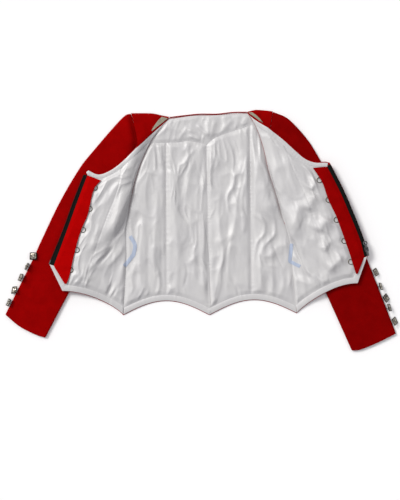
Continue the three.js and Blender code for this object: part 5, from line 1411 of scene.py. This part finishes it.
def sleeve_grid(side, level_sign):
    """Points of the top or under sleeve's outside: rounded at both edges, flat between them."""
    rows = np.concatenate([np.linspace(0, 0.75, 90), np.linspace(0.75, 1, 50)[1:]])
    inner = curve(SLEEVE_INNER[side])
    head = lambda s: armhole[side](1 - shares(s)) + (SIGN[side] * 2 * GAP, 0)
    args = curve(CUFF[side]), head, outer_edge[side], inner
    wide = panel(*args, np.array([0, 1.0]), rows)
    width = np.linalg.norm(wide[:, 1] - wide[:, 0], axis=1)[:, None]
    height = np.interp(rows, *np.array(SLEEVE_HEIGHT).T)[:, None]
    up = rows[:, None]
    at_end = lambda u: mix(height, UNDERARM_HEIGHT, smooth((u - 0.2) / 0.5) * smooth((up - 0.78) / 0.2))
    angle = np.radians(np.linspace(0, 90, 8))[None]
    left, right = (at_end(u) / 2 * (1 - np.cos(angle)) / width for u in (0.0, 1.0))
    inside = mix(left[:, -1:], 1 - right[:, -1:], np.linspace(0, 1, 44)[None, 1:-1])
    u = np.concatenate([left, inside, (1 - right)[:, ::-1]], 1)
    level = np.concatenate([np.sin(angle[0]), np.ones(42), np.sin(angle[0])[::-1]])[None]
    flat = coons(*args, u, np.broadcast_to(up, u.shape))
    radius = at_end(u) / 2
    z = radius + GAP / 2 + level_sign * (GAP / 2 + radius * level)
    if level_sign > 0:
        relief = ridges(flat, SLEEVE_CREASES[side])
        relief += ripples(
            flat, seed=80 + SIGN[side], count=30, height=0.5, width=12, length=40,
            heading=90 - SIGN[side] * 30, spread=25,
        )
        middle = 1.2 * np.sin(math.pi * np.clip(u, 0, 1)) * smooth(up / 0.15) * smooth((1 - up) / 0.06)
        z = np.maximum(z + (relief + middle) * level, np.minimum(z, SLEEVE_FLOOR))
    return at_height(flat, np.clip(z, 0.15, None))


for side in SIDES:
    # the sleeve's red scaled by side: painted shade on the wearer's left
    sleeve_wool = red_wool(f"red sleeve wool {side}", SLEEVE_PAINTED_SHADE[side])
    for part_of, up in (("top", 1), ("under", -1)):
        sleeve = sleeve_grid(side, up), up * SLEEVE_THICKNESS
        piece = cloth(f"{part_of}_sleeve_cloth_{side}", sleeve_wool, sleeve)
        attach(piece, "jacket")
        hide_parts(f"{part_of}_sleeve_{side}")

# ---------------------------------------------------------------- the cuffs' buttons
# Five on each sleeve, the same stamped buttons as the front's, each on a thread shank at the sleeve's edge,
# so they lie tipped over at different angles.

# Share of the way along the edge, out from it, z of the lowest corner, turn, tilt.
CUFF_BUTTONS = {
    "right": [
        (0.288, 0.8, 6.9, 24, 8), (0.234, 3.6, 0.15, 8, 70), (0.178, 5.2, 0.15, 14, 58),
        (0.115, 5.4, 0.15, 26, 44), (0.055, 4.4, 0.15, 8, 60),
    ],
    "left": [
        (0.268, 6.0, 0.15, 4, 48), (0.207, 4.7, 0.15, -14, 62), (0.153, 6.7, 0.15, 16, 40),
        (0.1115, 5.6, 0.15, -12, 58), (0.05, 6.3, 0.15, 6, 46),
    ],
}
for side in SIDES:
    for k, (t, out, rest, turn, tilt) in enumerate(CUFF_BUTTONS[side]):
        sign = SIGN[side]
        edge = outer_edge[side](t)[0]
        run = outer_edge[side](t + 0.01)[0] - outer_edge[side](t - 0.01)[0]
        run = np.append(run / np.linalg.norm(run), 0)
        away = np.array([run[1], -run[0], 0]) * sign
        turned = turn_matrix((0, 0, 1), math.atan2(run[1], run[0]) + math.radians(turn))
        tipped = turn_matrix(run, sign * math.radians(tilt)) @ turned
        face, quads = button_points()
        face = face @ tipped.T
        middle = np.array([*edge, rest - face[:, 2].min()]) + away * out
        foot = np.array([*edge, 3.3]) + away * 0.95
        shank = np.array([middle + tipped @ (0, 0, 0.6), mix(middle, foot, 0.5), foot])
        parts = merged((face + middle, quads), tube(shank, 0.8))
        button = plane_mesh(f"cuff_button_and_thread_{side}_{k + 1}", *parts)
        for finish in (silver, blackened):
            button.data.materials.append(finish)
        underside = len(quads) - 2
        for polygon in button.data.polygons[:len(quads)]:
            ring = polygon.index // AROUND
            polygon.material_index = int(ring in DARK_RINGS or polygon.index == underside)
        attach(button, "jacket")
        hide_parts(f"cuff_button_{side}_{k + 1}")

# ---------------------------------------------------------------- the neck's piping and braid
# Red piping closes the back neck. Beside each neck edge a silver-grey woven braid is sewn on the outside.
PIPING_RADIUS = 1.1
BRAID_THICKNESS = 0.8
BACK_NECK = [(0, -67, 237), (0.2, -34, 241), (0.4, -3, 244), (0.6, 32, 244), (0.8, 66, 247.5), (1, 96, 248)]
# The braid's outer edge; its inner one follows the neck edge.
BRAID_OUTER = {
    "right": [(0, -105.5, 209), (0.35, -100, 218.5), (0.7, -92, 229.5), (1, -84, 238)],
    "left": [(0, 128.5, 227), (0.35, 123, 234.3), (0.7, 116, 241.3), (1, 107.5, 247.5)],
}
BRAID_ON_NECK = {"right": (0.83, 0.985), "left": (0.8, 0.985)}
neck_line = points_on(curve(BACK_NECK), 90) + (0, 0.5)
neck_line_in_space = at_height(neck_line[None], PIPING_RADIUS)[0]
piping_points, piping_faces = tube(neck_line_in_space, PIPING_RADIUS, 12)
along = np.repeat(lengths_along(neck_line), 12)
round_it = np.tile(np.arange(12) * 0.6, 90)
piping = plane_mesh("neck_piping_cloth", piping_points, piping_faces, np.stack([along, round_it], 1))
piping.data.materials.append(wool)
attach(piping, "jacket")
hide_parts("neck_piping")

braid_weave = woven(
    "silver-grey braid", (0.50, 0.47, 0.36, 1), (0.16, 0.145, 0.10, 1), roughness=0.42, threads=420,
    depth=0.0004, mottle=0.5, size=300, slant=1.0, Metallic=0.35,
)
for side in SIDES:
    inner = part(beside(neck_path[side], SIGN[side] * -0.8), *BRAID_ON_NECK[side])
    outer = curve(BRAID_OUTER[side])
    flat = panel(*ends(inner, outer), inner, outer, columns=15, rows=70)
    ribs = 0.12 * np.cos(np.linspace(0, 6 * math.pi, 15))[None]
    ribs = ribs + 0.08 * np.cos(np.linspace(0, 40 * math.pi, 70))[:, None]
    lift = WOOL_THICKNESS + 2 * GAP + BRAID_THICKNESS + ribs
    top = raised(at_height(flat, flap_height(side, flat)), lift)
    braid = cloth(f"braid_{side}", braid_weave, (top, BRAID_THICKNESS))
    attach(braid, "jacket")
    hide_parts(f"neck_braid_{side}")

# ---------------------------------------------------------------- the hanger ribbons
# Pale blue satin ribbon, sewn into each side seam and folded over once as it lies on the linings.
RIBBON_WIDTH = {"right": 8, "left": 7}
RIBBON = {
    "right": [(0, -150, -13), (0.3, -140, -32), (0.55, -143, -52, True), (1, -162, -76)],
    "left": [(0, 190, -29), (0.55, 186, -66, True), (1, 207, -77)],
}
blue_satin = satin("pale blue satin ribbon", (0.40, 0.46, 0.58, 1), (0.28, 0.34, 0.46, 1), 0.34)

for side in SIDES:
    line = curve(RIBBON[side])
    half = RIBBON_WIDTH[side] / 2
    a, b = beside(line, -half), beside(line, half)
    flat = panel(*ends(a, b), a, b, columns=7, rows=80)
    satin_z = surface_below([back_lining, front_lining[side]])(flat)
    kernel = np.exp(-(np.linspace(-2, 2, 9) ** 2))
    kernel /= kernel.sum()
    padded = np.pad(satin_z, ((4, 4), (0, 0)), mode="edge")
    evened = np.stack([np.convolve(column, kernel, "valid") for column in padded.T], 1)
    z = np.maximum(evened, satin_z) + 0.75
    ribbon = cloth(f"ribbon_{side}", blue_satin, (at_height(flat, z), 0.5))
    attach(ribbon, "jacket")
    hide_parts(f"hanger_ribbon_{side}")

# ---------------------------------------------------------------- the floor, the light and the camera
# The jacket lies on a plain white floor and is looked at from straight above, in soft light from the left.
FLOOR_HALF = 4
FRAME_SIZE = 1.05  # metres of floor that the camera sees along its long side
LENS, SENSOR = 60, 36

floor_mesh = bpy.data.meshes.new("floor")
floor_corners = [(x * FLOOR_HALF, y * FLOOR_HALF, 0) for x, y in ((-1, -1), (1, -1), (1, 1), (-1, 1))]
floor_mesh.from_pydata(floor_corners, [], [(0, 1, 2, 3)])
floor = bpy.data.objects.new("floor", floor_mesh)
bpy.context.collection.objects.link(floor)
floor_finish = bpy.data.materials.new("white floor")
floor_finish.use_nodes = True
floor_shader = floor_finish.node_tree.nodes["Principled BSDF"]
floor_shader.inputs["Base Color"].default_value = (0.92, 0.92, 0.92, 1)
floor_shader.inputs["Roughness"].default_value = 0.9
floor_mesh.materials.append(floor_finish)

for name, place, softness, strength in (
    ("window light", (-1.0, 0.75, 1.05), 22, 2.3),
    ("room light", (1.1, 0.2, 1.6), 50, 0.45),
):
    light = bpy.data.lights.new(name, "SUN")
    light.energy, light.angle = strength, math.radians(softness)
    light.color = (1, 0.985, 0.96)
    lamp = bpy.data.objects.new(name, light)
    lamp.rotation_euler = Vector(place).to_track_quat("Z", "Y").to_euler()
    bpy.context.collection.objects.link(lamp)

# The room is brighter towards the window, so the satin's folds have something to reflect.
world = bpy.data.worlds.new("room")
world.use_nodes = True
room = world.node_tree
seen = add_node(room, "ShaderNodeTexCoord").outputs["Generated"]
towards = add_node(room, "ShaderNodeVectorMath", {0: seen, 1: (-0.70, 0.50, 0.50)}, operation="DOT_PRODUCT")
brightness = {
    "Value": towards.outputs["Value"], "From Min": -0.5, "From Max": 1.0, "To Min": 0.12, "To Max": 0.9,
}
glow = add_node(room, "ShaderNodeMapRange", brightness)
sky = add_node(room, "ShaderNodeMix", {"Factor": glow.outputs["Result"]}, data_type="RGBA")
sky.inputs[6].default_value, sky.inputs[7].default_value = (0.84, 0.835, 1, 1), (1, 0.99, 0.96, 1)
room.links.new(sky.outputs[2], room.nodes["Background"].inputs["Color"])
room.links.new(glow.outputs["Result"], room.nodes["Background"].inputs["Strength"])
bpy.context.scene.world = world
bpy.context.scene.view_settings.view_transform = "Standard"

camera = bpy.data.objects.new("camera", bpy.data.cameras.new("camera"))
camera.data.lens, camera.data.sensor_width = LENS, SENSOR
camera.location = (-0.0042, -0.0414, FRAME_SIZE * LENS / SENSOR + 0.01)
bpy.context.collection.objects.link(camera)
bpy.context.scene.camera = camera
